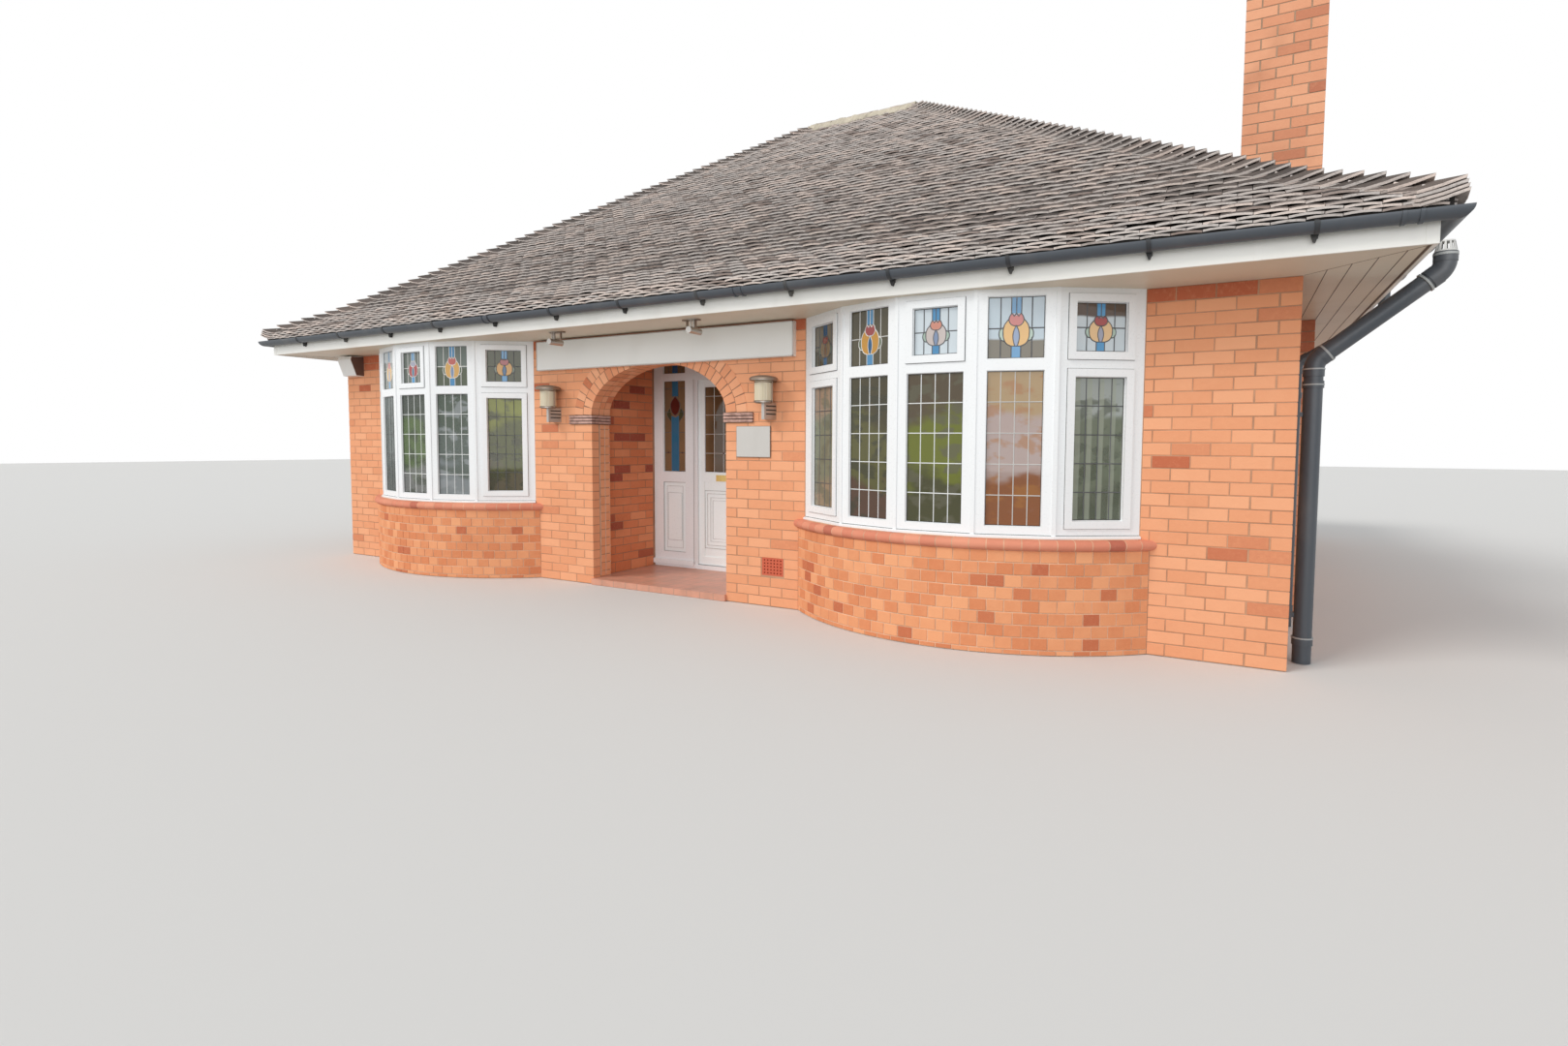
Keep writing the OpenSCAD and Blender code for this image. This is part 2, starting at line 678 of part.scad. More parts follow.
module bay_frame(x) color(white) bay_front(x) union() {
    for (band = [[window_z, rail_h], [transom_z - rail_h / 2, rail_h], [soffit_z - head_h, head_h]])
        translate([0, 0, band[0]]) linear_extrude(band[1]) bay_ring(bay_r - window_t, bay_r);
    translate([0, 0, window_z]) linear_extrude(soffit_z - window_z) upright_plan();
    for (s = sashes) sash(s[0], s[1]);
    // Cover strips over the joints between two facets
    for (i = [1:4]) rotate([0, 0, bay_angles[i]]) translate([0, -bay_r, window_z])
        block([-14, -5, 0], [14, window_t / 2, soffit_z - window_z]);
}

// How far the glass lies behind the frame's face
glass_back = 20;

module bay_glass(x) color(pane) at_front() translate([x, bay_in, 0])
    for (i = [0:4]) for (up = [true, false]) on_facet(i)
        block([-glass_half(i, up), glass_back, glass_z0(i, up)],
              [glass_half(i, up), glass_back + glass_t, glass_z1(i, up)]);

module left_bay_base() bay_base(left_bay_x);
module left_bay_sill() bay_sill(left_bay_x);
module left_bay_frame() bay_frame(left_bay_x);
module left_bay_glass() bay_glass(left_bay_x);
module right_bay_base() bay_base(right_bay_x);
module right_bay_sill() bay_sill(right_bay_x);
module right_bay_frame() bay_frame(right_bay_x);
module right_bay_glass() bay_glass(right_bay_x);

// Plain casements: three lights in a white frame, set back from the wall face
casement_back = 60;
casement_member = 62;
light_half = (casement_w - 4 * casement_member) / 6;
light_xs = [for (i = [-1:1]) i * (2 * light_half + casement_member)];

module casement_lights(y0, y1) for (x = light_xs)
    block([x - light_half, y0, casement_z + casement_member],
          [x + light_half, y1, casement_z + casement_h - casement_member]);

module casement_frames() color(white) for (w = plain_windows) in_wall(w[0], w[1]) difference() {
    block([-casement_w / 2, casement_back, casement_z],
          [casement_w / 2, casement_back + window_t, casement_z + casement_h]);
    casement_lights(casement_back - eps, casement_back + window_t + eps);
}

module casement_glass() color(pane) for (w = plain_windows) in_wall(w[0], w[1])
    casement_lights(casement_back + glass_back, casement_back + glass_back + glass_t);

plain_sill_out = 40;

module casement_sills() color(clay) for (w = plain_windows) in_wall(w[0], w[1])
    block([-casement_w / 2, -plain_sill_out, casement_z - plain_sill_h], [casement_w / 2, wall_t, casement_z]);

module ceiling() color(white) difference() {
    block([-inner_x, -inner_y, ceiling_z], [inner_x, inner_y, ceiling_z + ceiling_t]);
    stack_block(0);
}

// Boards of the boxed eaves, one along each side, mitred at the corners
module eaves_boards(reach, z0, z1, inner) for (side = [0:3]) difference() {
    side_prism(side, right_x + reach, wall_d / 2 + reach, z0, z1);
    block([left_x - inner, front_y - inner, z0 - eps], [right_x + inner, -front_y + inner, z1 + eps]);
    stack_block(0);
}

module soffit() color(white) eaves_boards(fascia_out - fascia_t, soffit_z, soffit_z + soffit_t, 0);

module fascia() color(white) intersection() {
    eaves_boards(fascia_out, soffit_z, eaves_z, fascia_out - fascia_t);
    under_roof(roof_t, 0);
}

module roof() color("dimgray") for (side = [0:3]) difference() {
    intersection() {
        under_roof(0, 0);
        side_prism(side, eaves_x, eaves_y, 0, ridge_z + eps);
    }
    under_roof(roof_t, -eps);
    stack_block(0);
}

// Tiles that cover the hips and the ridge: the roof surface raised by cap_t,
// kept only in a strip along each line, less the roof itself
module cap_tiles(strip_z) intersection() {
    difference() {
        under_roof(-cap_t, 0);
        under_roof(0, -eps);
    }
    translate([0, 0, strip_z]) linear_extrude(ridge_z) children();
}

// The hip tiles start this far past the ridge's end
hip_start = 60;

module hip_tiles() color("dimgray") for (sx = [-1, 1]) for (sy = [-1, 1])
    cap_tiles(eaves_z - roof_t) intersection() {
        translate([sx * ridge_half, 0]) rotate(atan2(sy, sx)) translate([hip_start, -cap_w / 2])
            square([eaves_y * 1.5, cap_w]);
        translate([sx > 0 ? ridge_half : -eaves_x, sy > 0 ? 0 : -eaves_y]) square([eaves_x - ridge_half, eaves_y]);
    }

module ridge_tiles() color("tan") cap_tiles(break_z)
    square([2 * ridge_half, cap_w], center = true);

corbel = 30;
corbel_h = 84;
flue_r = 100;
flue_depth = 300;

module chimney_stack() color(brick) difference() {
    union() {
        stack_block(0);
        block([stack_x0 - corbel, stack_y0 - corbel, stack_z - 4 * corbel_h],
              [stack_x1 + corbel, stack_y1 + corbel, stack_z - corbel_h]);
        block([stack_x0 - corbel / 2, stack_y0 - corbel / 2, stack_z - 5 * corbel_h],
              [stack_x1 + corbel / 2, stack_y1 + corbel / 2, stack_z - 4 * corbel_h + eps]);
    }
    translate([(stack_x0 + stack_x1) / 2, (stack_y0 + stack_y1) / 2, stack_z - flue_depth])
        cylinder(flue_depth + eps, r = flue_r, $fn = 48);
}

// Half of the pot's section: a wide foot, a body that narrows and a rolled rim
pot_section = [[flue_r, 0], [145, 0], [135, 60], [118, 90], [112, pot_h - 70], [135, pot_h - 60],
    [138, pot_h - 10], [128, pot_h], [flue_r, pot_h]];

module chimney_pot() color("peru") translate([(stack_x0 + stack_x1) / 2, (stack_y0 + stack_y1) / 2, stack_z])
    rotate_extrude($fn = 48) polygon(pot_section);

// Half-round gutter along all four sides, mitred at the corners
bracket_t = 4;
gutter_out = fascia_out + bracket_t + gutter_r;

module half_round(length, r_out, r_in) rotate([90, 0, 90]) translate([0, 0, -length / 2])
    linear_extrude(length) difference() {
        circle(r = r_out, $fn = 48);
        circle(r = r_in, $fn = 48);
        translate([-r_out - eps, 0]) square([2 * r_out + 2 * eps, r_out + eps]);
    }

module gutter() color(slate) for (side = [0:3]) intersection() {
    rotate([0, 0, side * 90]) translate([0, -((side % 2 == 0 ? wall_d : wall_w) / 2 + gutter_out), gutter_z])
        half_round(wall_w + 2000, gutter_r, gutter_r - gutter_t);
    side_prism(side, right_x + gutter_out + gutter_r + eps, wall_d / 2 + gutter_out + gutter_r + eps,
        gutter_z - 2 * gutter_r, gutter_z + eps);
}

bracket_foot = 70;

module bracket() union() {
    half_round(bracket_w, gutter_r + bracket_t, gutter_r);
    block([-bracket_w / 2, gutter_r, -bracket_foot], [bracket_w / 2, gutter_r + bracket_t, 0]);
}

// The brackets keep this far from the ends of a wall and are shifted along it
bracket_inset = 75;
bracket_shift = 90;

function bracket_places(length) = let (free = length - 2 * bracket_inset, n = round(free / bracket_pitch))
    [for (i = [0:n]) bracket_shift - free / 2 + i * free / n];

module gutter_brackets() color(slate) for (side = [0:3]) {
    along = side % 2 == 0 ? wall_w : wall_d;
    across = side % 2 == 0 ? wall_d : wall_w;
    for (x = bracket_places(along)) rotate([0, 0, side * 90])
        translate([x, -(across / 2 + gutter_out), gutter_z]) bracket();
}

// A pipe is [points of its route, outside radius, radius of a bend's centre line].
// The vent pipe climbs the side wall, passes under the eaves and ends outside the
// gutter. The rainwater pipe drops from the gutter and bends back to the wall.
vent_x = right_x + pipe_gap + vent_r;
vent_y = front_y + vent_back;
vent_top_x = right_x + gutter_out + gutter_r + vent_clear + vent_r;
vent_route = [[[vent_x, vent_y, 0], [vent_x, vent_y, vent_bend_z],
    [vent_top_x, vent_y, vent_top_bend_z], [vent_top_x, vent_y, vent_top_z]], vent_r, 110];
rain_x = right_x + pipe_gap + rain_r;
rain_y = front_y + rain_back;
rain_top_x = right_x + gutter_out;
rain_bend_z = 2080;
rain_drop = 150;
rain_route = [[[rain_x, rain_y, 0], [rain_x, rain_y, rain_bend_z],
    [rain_top_x, rain_y, gutter_z - gutter_r - rain_drop], [rain_top_x, rain_y, gutter_z - gutter_r / 2]],
    rain_r, 70];
// Sockets: how much wider than the pipe, how long, and how far they reach over a bend
socket_out = 6;
socket_l = 45;
socket_lap = 10;
// Heights of the sockets and wall brackets along the upright pipes
socket_zs = [120, 1805];
strap_zs = [300, 1620];
strap_h = 30;
strap_w = 40;

function unit(v) = v / norm(v);
function turn(p, i) = acos(unit(p[0][i] - p[0][i - 1]) * unit(p[0][i + 1] - p[0][i]));
// Length that a bend takes off the straight pipe on each side
function bend_length(p, i) = i == 0 || i == 3 ? 0 : p[2] * tan(turn(p, i) / 2);

module rod(a, b, r) {
    d = b - a;
    translate(a) rotate([0, acos(d[2] / norm(d)), atan2(d[1], d[0])]) cylinder(norm(d), r = r, $fn = 48);
}

// Part of a torus at corner i of a pipe's route, a little wider than the pipe
module bend(p, i) {
    a = unit(p[0][i] - p[0][i - 1]);
    b = unit(p[0][i + 1] - p[0][i]);
    up = unit(cross(a, b));
    out = cross(a, up);
    c = p[0][i] - a * bend_length(p, i) - out * p[2];
    multmatrix([[out[0], a[0], up[0], c[0]], [out[1], a[1], up[1], c[1]], [out[2], a[2], up[2], c[2]], [0, 0, 0, 1]])
        rotate_extrude(angle = turn(p, i), $fn = 96) translate([p[2], 0]) circle(r = p[1] + socket_out / 2, $fn = 48);
}

// Point on straight i of a pipe, a length past its start or before its end
function past(p, i, l) = p[0][i] + unit(p[0][i + 1] - p[0][i]) * (bend_length(p, i) + l);
function before(p, i, l) = p[0][i + 1] - unit(p[0][i + 1] - p[0][i]) * (bend_length(p, i + 1) + l);

module pipe_run(p) {
    for (i = [0:2]) rod(past(p, i, 0), before(p, i, 0), p[1]);
    for (i = [1:2]) {
        bend(p, i);
        rod(before(p, i - 1, socket_l), before(p, i - 1, -socket_lap), p[1] + socket_out);
        rod(past(p, i, -socket_lap), past(p, i, socket_l), p[1] + socket_out);
    }
    for (z = socket_zs) translate([p[0][0][0], p[0][0][1], z])
        cylinder(socket_l, r = p[1] + socket_out, $fn = 48);
    for (z = strap_zs) block([right_x, p[0][0][1] - strap_w / 2, z],
        [p[0][0][0], p[0][0][1] + strap_w / 2, z + strap_h]);
}

module vent_pipe() color(slate) union() pipe_run(vent_route);

// The rainwater pipe's outlet is shaped to the underside of the gutter
module downpipe() color(slate) difference() {
    pipe_run(rain_route);
    translate([rain_top_x, rain_y + 2 * rain_r, gutter_z]) rotate([90, 0, 0])
        cylinder(4 * rain_r, r = gutter_r, $fn = 48);
}

// Slotted cone on the vent pipe's open end
cage_h = 66;
cage_top_r = 43;
cage_t = 5;
cage_rim = 9;
cage_slots = 12;
cage_slot_w = 14;
cage_out = 2;

module vent_cage() color(slate) translate([vent_top_x, vent_y, vent_top_z]) difference() {
    cylinder(cage_h, r1 = vent_r + cage_out, r2 = cage_top_r, $fn = 48);
    translate([0, 0, -eps])
        cylinder(cage_h - cage_rim + eps, r1 = vent_r + cage_out - cage_t, r2 = cage_top_r - cage_t, $fn = 48);
    for (i = [0:cage_slots - 1]) rotate([0, 0, i * 360 / cage_slots])
        block([cage_top_r / 2, -cage_slot_w / 2, cage_rim],
              [vent_r + 2 * cage_t, cage_slot_w / 2, cage_h - cage_rim]);
}

// The sign hangs a little right of the arch's middle
sign_shift = 6;

module sign_board() color("gainsboro") at_front()
    block([arch_x + sign_shift - sign_w / 2, -sign_t, sign_z],
          [arch_x + sign_shift + sign_w / 2, 0, sign_z + sign_h]);

// Spotlights hang from the soffit on two arms and point at the wall
spot_xs = [arch_x - 902, arch_x + 760];
spot_y = -400;
spot_r = 28;
spot_l = 155;
spot_z = soffit_z - 97;
spot_plate = [96, 30, 5];
spot_arm = [9, 6];
spot_arm_gap = 28;

module sign_spotlights() color("silver") at_front() for (x = spot_xs) translate([x, spot_y, 0]) union() {
    translate([-spot_plate[0] / 2, -spot_plate[1] / 2, soffit_z - spot_plate[2]]) cube(spot_plate);
    for (s = [-1, 1]) block([s * spot_arm_gap / 2 - spot_arm[0] / 2, -spot_arm[1] / 2, spot_z],
        [s * spot_arm_gap / 2 + spot_arm[0] / 2, spot_arm[1] / 2, soffit_z - spot_plate[2] / 2]);
    translate([0, -spot_l / 3, spot_z]) rotate([-90, 0, 0]) cylinder(spot_l, r = spot_r, $fn = 32);
}

// Lanterns: a bracket that narrows away from the wall, glass on it and a low cap
lantern_off = 474;
lantern_xs = [arch_x - arch_w / 2 - lantern_off, arch_x + arch_w / 2 + lantern_off];
lantern_out = 122;
lantern_z = 1632;
lantern_glass_z = 1788;
lantern_cap_z = 1960;
arm_half = 55;
arm_nose_half = 14;
arm_reach = 132;
collar_h = 13;
cap_edge = 6;
cap_rise = 22;

module wall_lanterns() color("darkgray") at_front() for (x = lantern_xs) translate([x, 0, 0]) union() {
    translate([0, 0, lantern_z]) linear_extrude(lantern_glass_z - collar_h - lantern_z)
        polygon([[-arm_half, 0], [-arm_nose_half, -arm_reach], [arm_nose_half, -arm_reach],
            [arm_half, 0]]);
    translate([0, -lantern_out, 0]) {
        translate([0, 0, lantern_glass_z - collar_h]) cylinder(collar_h, d = lantern_glass_d, $fn = 48);
        translate([0, 0, lantern_glass_z - eps])
            cylinder(lantern_cap_z - lantern_glass_z + 2 * eps, d = lantern_glass_d - 8, $fn = 48);
        translate([0, 0, lantern_cap_z]) cylinder(cap_edge, d = lantern_cap_d, $fn = 48);
        translate([0, 0, lantern_cap_z + cap_edge])
            cylinder(cap_rise, d1 = lantern_cap_d - 6, d2 = lantern_cap_d / 2, $fn = 48);
    }
}

// The alarm box is deeper at the top: its side view runs from the wall round the front
alarm_off = 75;
alarm_w = 270;
alarm_z = 2225;
alarm_side = [[0, 0], [-97, 6], [-163, 196], [-150, 232], [0, 240]];

module alarm_box() color(white) at_front() translate([left_x + alarm_off, 0, alarm_z]) rotate([90, 0, 90])
    linear_extrude(alarm_w) polygon(alarm_side);

plaque_off = 123;
plaque_size = [348, 18, 265];
plaque_z = 1310;

module plaque() color("silver") at_front() translate([arch_x + arch_w / 2 + plaque_off, -plaque_size[1], plaque_z])
    cube(plaque_size);

air_x = arch_x + arch_w / 2 + 381;
air_z = 272;
air_w = 220;
air_h = 158;
air_t = 60;
air_hole = 13;
air_pitch_x = 33;
air_pitch_z = 28;

module air_brick_pocket() at_front() block([air_x, -eps, air_z], [air_x + air_w, air_t, air_z + air_h]);

module air_bricks() color(clay) at_front() difference() {
    block([air_x, 0, air_z], [air_x + air_w, air_t, air_z + air_h]);
    // Six columns and five rows of square holes
    for (i = [-2.5:2.5]) for (j = [-2:2])
        translate([air_x + air_w / 2 + i * air_pitch_x, -eps, air_z + air_h / 2 + j * air_pitch_z])
            block([-air_hole / 2, 0, -air_hole / 2], [air_hole / 2, air_t + 2 * eps, air_hole / 2]);
}

floor_slab();
porch_floor();
left_side_wall();
right_side_wall();
rear_wall();
front_wall_left_end();
front_wall_left_pier();
front_wall_right_pier();
front_wall_right_end();
wall_over_arch();
front_wall_head();
arch_ring();
arch_imposts();
porch_left_wall();
porch_right_wall();
porch_ceiling();
entrance_frame();
entrance_glass();
entrance_panels();
front_door();
door_glass();
letter_plate();
door_handles();
door_hinges();
left_bay_base();
left_bay_sill();
left_bay_frame();
left_bay_glass();
right_bay_base();
right_bay_sill();
right_bay_frame();
right_bay_glass();
casement_frames();
casement_glass();
casement_sills();
ceiling();
soffit();
fascia();
roof();
ridge_tiles();
hip_tiles();
chimney_stack();
chimney_pot();
gutter();
gutter_brackets();
vent_pipe();
vent_cage();
downpipe();
sign_board();
sign_spotlights();
wall_lanterns();
alarm_box();
plaque();
air_bricks();
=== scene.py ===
# %% [markdown]
# # A brick corner shop with curved bays
#
# The real thing is a small shop in the form of a bungalow: orange brick walls, a hipped roof
# of plain tiles, two curved bay windows with leaded glass, and an arched porch between them.
# Its solids come from a CAD model. This notebook dresses them, piece by piece, and every
# piece is built in metres in the CAD model's own frame, so nothing has to be fitted.

# %% Load the solids
import random
from math import acos, atan2, cos, pi, radians, sin, sqrt, tan, tau

import bpy
import bmesh
from mathutils import Matrix, Vector

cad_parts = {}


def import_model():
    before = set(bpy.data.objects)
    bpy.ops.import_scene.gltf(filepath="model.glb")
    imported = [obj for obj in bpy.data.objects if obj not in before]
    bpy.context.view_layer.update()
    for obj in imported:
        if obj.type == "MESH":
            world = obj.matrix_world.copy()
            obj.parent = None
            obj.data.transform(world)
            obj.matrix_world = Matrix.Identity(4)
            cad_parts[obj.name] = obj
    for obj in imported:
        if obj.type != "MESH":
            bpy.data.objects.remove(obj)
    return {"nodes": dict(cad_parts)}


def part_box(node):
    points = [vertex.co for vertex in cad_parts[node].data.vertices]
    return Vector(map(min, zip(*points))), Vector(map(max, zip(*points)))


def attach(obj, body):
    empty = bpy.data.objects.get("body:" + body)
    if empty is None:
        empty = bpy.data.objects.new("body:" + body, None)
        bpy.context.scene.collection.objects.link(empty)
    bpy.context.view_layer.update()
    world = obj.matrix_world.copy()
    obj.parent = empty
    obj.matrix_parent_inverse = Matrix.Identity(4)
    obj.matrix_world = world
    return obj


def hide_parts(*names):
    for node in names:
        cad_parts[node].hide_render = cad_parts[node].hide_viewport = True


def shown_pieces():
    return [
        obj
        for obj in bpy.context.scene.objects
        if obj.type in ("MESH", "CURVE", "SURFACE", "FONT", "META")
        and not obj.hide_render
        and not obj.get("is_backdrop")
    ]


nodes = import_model()["nodes"]
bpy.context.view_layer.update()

# %% [markdown]
# ## Camera
#
# A photograph fixes where its camera stood. A fit of this building's corners gave the place,
# the direction and a lens of 17 mm, with the picture's middle a little off the lens axis.
# The camera could be aimed at a target, but a matrix built from yaw, pitch and roll repeats
# the fit exactly, so that edges land on the photograph's edges.

# %% Camera
def vec(*parts):
    return Vector(parts)


def put(name, data):
    """A new object in the scene."""
    made = bpy.data.objects.new(name, data)
    bpy.context.scene.collection.objects.link(made)
    return made


def look(yaw, pitch, roll):
    """Columns of a camera that looks along +Y, turned left by yaw and down by pitch."""
    yaw, pitch, roll = (radians(v) for v in (yaw, pitch, roll))
    ahead = vec(-sin(yaw) * cos(pitch), cos(yaw) * cos(pitch), -sin(pitch))
    right = vec(cos(yaw), sin(yaw), 0)
    up = right.cross(ahead)
    across = cos(roll) * right + sin(roll) * up
    above = cos(roll) * up - sin(roll) * right
    return Matrix((across, above, -ahead)).transposed()


camera_data = bpy.data.cameras.new("street_view")
camera_data.lens, camera_data.sensor_width = 17.24, 36
camera_data.shift_x, camera_data.shift_y = -0.0267, -0.0215
camera = put("street_view", camera_data)
camera.matrix_world = Matrix.Translation((4.725, -9.8115, 1.417)) @ look(28.323, 3.373, 0.361).to_4x4()
bpy.context.scene.camera = camera
bpy.context.scene.view_settings.view_transform = "Standard"
print("camera at", [round(v, 3) for v in camera.location])

# %% [markdown]
# ## Places taken from the solids
#
# Bricks have to meet the real corners, so the sizes are read from the solids' boxes rather
# than typed again. Only what a box can't tell is typed: the angles of the bay windows, the
# shape of the arch and the slopes of the roof.

# %% Sizes
def span(node, axis):
    low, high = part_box(node)
    return low[axis], high[axis]


LEFT, RIGHT = span("rear_wall", 0)
REAR = span("rear_wall", 1)[1]
FRONT = span("front_wall_left_end", 1)[0]
SOFFIT = span("soffit", 2)[0]
SILL, SILL_TOP = span("left_bay_sill", 2)
SIDES = ("left", "right")
BAYS = [sum(span(side + "_bay_frame", 0)) / 2 for side in SIDES]
BAY_ANGLE = radians(42)
frame_x = span("left_bay_frame", 0)
BAY_R = (frame_x[1] - frame_x[0]) / 2 / sin(BAY_ANGLE)
BAY_Y = FRONT + BAY_R * cos(BAY_ANGLE)
BASE_R = BAY_Y - span("left_bay_base", 1)[0]
NOSE_R = BAY_Y - span("left_bay_sill", 1)[0]
ARCH_X = sum(span("wall_over_arch", 0)) / 2
ARCH_HALF = ARCH_X - span("wall_over_arch", 0)[0]
SPRING = span("arch_ring", 2)[0]
RING = ARCH_X - ARCH_HALF - span("arch_ring", 0)[0]
RISE = span("arch_ring", 2)[1] - SPRING - RING
REVEAL = span("arch_ring", 1)[1] - FRONT
EAVES_X, EAVES_Y = span("roof", 0)[1], span("roof", 1)[1]
EAVES_Z = span("hip_tiles", 2)[0]
SPROCKET, KICK, PITCH = 0.55, radians(28), radians(34.8)
BREAK_Z = EAVES_Z + SPROCKET * tan(KICK)
RIDGE_Z = span("roof", 2)[1]
print("bays at", [round(v, 3) for v in BAYS], "radius", round(BAY_R, 4))
print("arch at", round(ARCH_X, 4), "rise", round(RISE, 3))

# %% [markdown]
# ## Writing node trees as sums
#
# Materials are sums over textures. Adding Math nodes one by one hides the sum, so a small
# class wraps one output and turns +, - and * into nodes, and a second one adds any other
# node from its type, its settings and its sockets.

# %% Node helpers
class Wire:
    """One output of a node, on which sums can be written."""

    def __init__(self, sheet, socket):
        self.sheet, self.socket = sheet, socket

    def math(self, operation, *others):
        return self.sheet.node("Math", dict(enumerate((self,) + others)), operation=operation)

    def __add__(self, other):
        return self.math("ADD", other)

    def __mul__(self, other):
        return self.math("MULTIPLY", other)

    def __sub__(self, other):
        return self.math("SUBTRACT", other)

    def __rsub__(self, other):
        return self * -1.0 + other

    __radd__, __rmul__ = __add__, __mul__

    def ramp(self, low, high):
        """0 under low and 1 over high, smooth between; low may be the larger."""
        return self.sheet.node("MapRange", {0: self, 1: low, 2: high}, interpolation_type="SMOOTHSTEP")


class Sheet:
    """A node tree that nodes are added to by type, sockets and settings."""

    def __init__(self, tree):
        self.tree = tree

    def node(self, kind, sockets=(), out=0, **settings):
        """Adds a node and gives its output. Shader nodes are named without their prefix."""
        made = self.tree.nodes.new(kind if "Node" in kind else "ShaderNode" + kind)
        for key, value in settings.items():
            setattr(made, key, value)
        for key, value in dict(sockets).items():
            if isinstance(value, Wire):
                self.tree.links.new(value.socket, made.inputs[key])
            else:
                made.inputs[key].default_value = value
        return Wire(self, made.outputs[out])


class Finish(Sheet):
    """A material on a Principled shader. Values that are the same all over are set here."""

    def __init__(self, name, **fixed):
        self.material = bpy.data.materials.new(name)
        self.material.use_nodes = True
        super().__init__(self.material.node_tree)
        self.shader = self.tree.nodes["Principled BSDF"]
        for key, value in fixed.items():
            self.shader.inputs[key.replace("_", " ")].default_value = value
        self.place = self.node("TexCoord", out="Object")

    def noise(self, scale, detail=3.0, stretch=(1, 1, 1)):
        moved = self.node("Mapping", {"Vector": self.place, "Scale": stretch})
        return self.node("TexNoise", {"Vector": moved, "Scale": scale, "Detail": detail})

    def part(self, axis, vector=None):
        return self.node("SeparateXYZ", {0: vector or self.place}, "XYZ".index(axis))

    def facing(self, axis):
        return self.part(axis, self.node("NewGeometry", out="Normal"))

    def mix(self, factor, a, b):
        a, b = (v if isinstance(v, Wire) else (*v, 1.0) for v in (a, b))
        return self.node("Mix", {0: factor, 6: a, 7: b}, 2, data_type="RGBA")

    def show(self, colour=None, rough=None, height=None, depth=0.001, **others):
        others.update({"Base Color": colour, "Roughness": rough})
        if height is not None:
            others["Normal"] = self.node("Bump", {"Distance": depth, "Height": height})
        for key, value in others.items():
            if isinstance(value, Wire):
                self.tree.links.new(value.socket, self.shader.inputs[key])
            elif value is not None:
                self.shader.inputs[key].default_value = value
        return self


def dress(finish, *names):
    for name in names:
        for slot in nodes[name].material_slots:
            slot.material = finish.material


print("names for a finish:", [name for name in vars(Finish) if name[0] != "_"])

# %% [markdown]
# ## Collecting shapes and laying units
#
# Two ways cover nearly all pieces. A one-off piece is collected as points and faces in
# code. What repeats, such as bricks, tiles and lead strips, is one small unit that Geometry
# Nodes set on a cloud of points: each point says where a unit lies, how it is turned, how
# large it is and how dark it was fired. Modelling each brick by hand would give the same
# picture with much more work, and an array couldn't follow the bond.

# %% Shapes
def angles(count, whole=pi):
    """Even steps of a turn, from 0 to the whole of it."""
    return [whole * i / count for i in range(count + 1)]


class Shape:
    """Points and faces of one piece. Its closed parts get outward normals at the end."""

    def __init__(self):
        self.points, self.faces, self.looks = [], [], []

    def add(self, points, faces, look=0):
        start = len(self.points)
        self.points += [Vector(p) for p in points]
        self.faces += [[start + i for i in face] for face in faces]
        self.looks += [look] * len(faces)
        return self

    def rings(self, rings, look=0, loop=False):
        """Joins rings of equally many points; the first and last are closed with a face."""
        n, count = len(rings[0]), len(rings)
        faces = [[r * n + i, r * n + (i + 1) % n, (r + 1) % count * n + (i + 1) % n, (r + 1) % count * n + i]
                 for r in range(count if loop else count - 1) for i in range(n)]
        if not loop:
            faces += [list(range(n)), [(count - 1) * n + i for i in range(n)]]
        return self.add([p for ring in rings for p in ring], faces, look)

    def prism(self, outline, push, look=0):
        return self.rings([outline, [Vector(p) + Vector(push) for p in outline]], look)

    def box(self, low, high, look=0):
        (a, b, c), (d, e, f) = low, high
        return self.prism([(a, b, c), (d, b, c), (d, e, c), (a, e, c)], (0, 0, f - c), look)

    def lathe(self, x, y, profile, count=32, look=0):
        """Turns (radius, height) pairs about an upright line at x, y."""
        turns = angles(count, tau)[:-1]
        return self.rings([[(x + r * cos(t), y + r * sin(t), z) for t in turns] for r, z in profile], look)

    def mesh(self, name):
        mesh = bpy.data.meshes.new(name)
        mesh.from_pydata(self.points, [], self.faces)
        mesh.polygons.foreach_set("material_index", self.looks)
        work = bmesh.new()
        work.from_mesh(mesh)
        bmesh.ops.recalc_face_normals(work, faces=work.faces)
        work.to_mesh(mesh)
        work.free()
        return mesh

    def piece(self, name, finishes, slot, smooth=False, bevel=0.0, body="building"):
        made = put(name, self.mesh(name))
        for finish in finishes if isinstance(finishes, list) else [finishes]:
            made.data.materials.append(finish.material)
        if smooth:
            made.data.shade_smooth()
            made.data.set_sharp_from_angle(angle=radians(35))
        if bevel:
            rounding = made.modifiers.new("edges", "BEVEL")
            rounding.width, rounding.segments, rounding.limit_method = bevel, 2, "ANGLE"
        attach(made, body)


# %% The laying tree
SOCKETS = {"Spots": "Geometry", "Unit": "Object", "Finish": "Material", "Wobble": "Float", "Seed": "Int"}


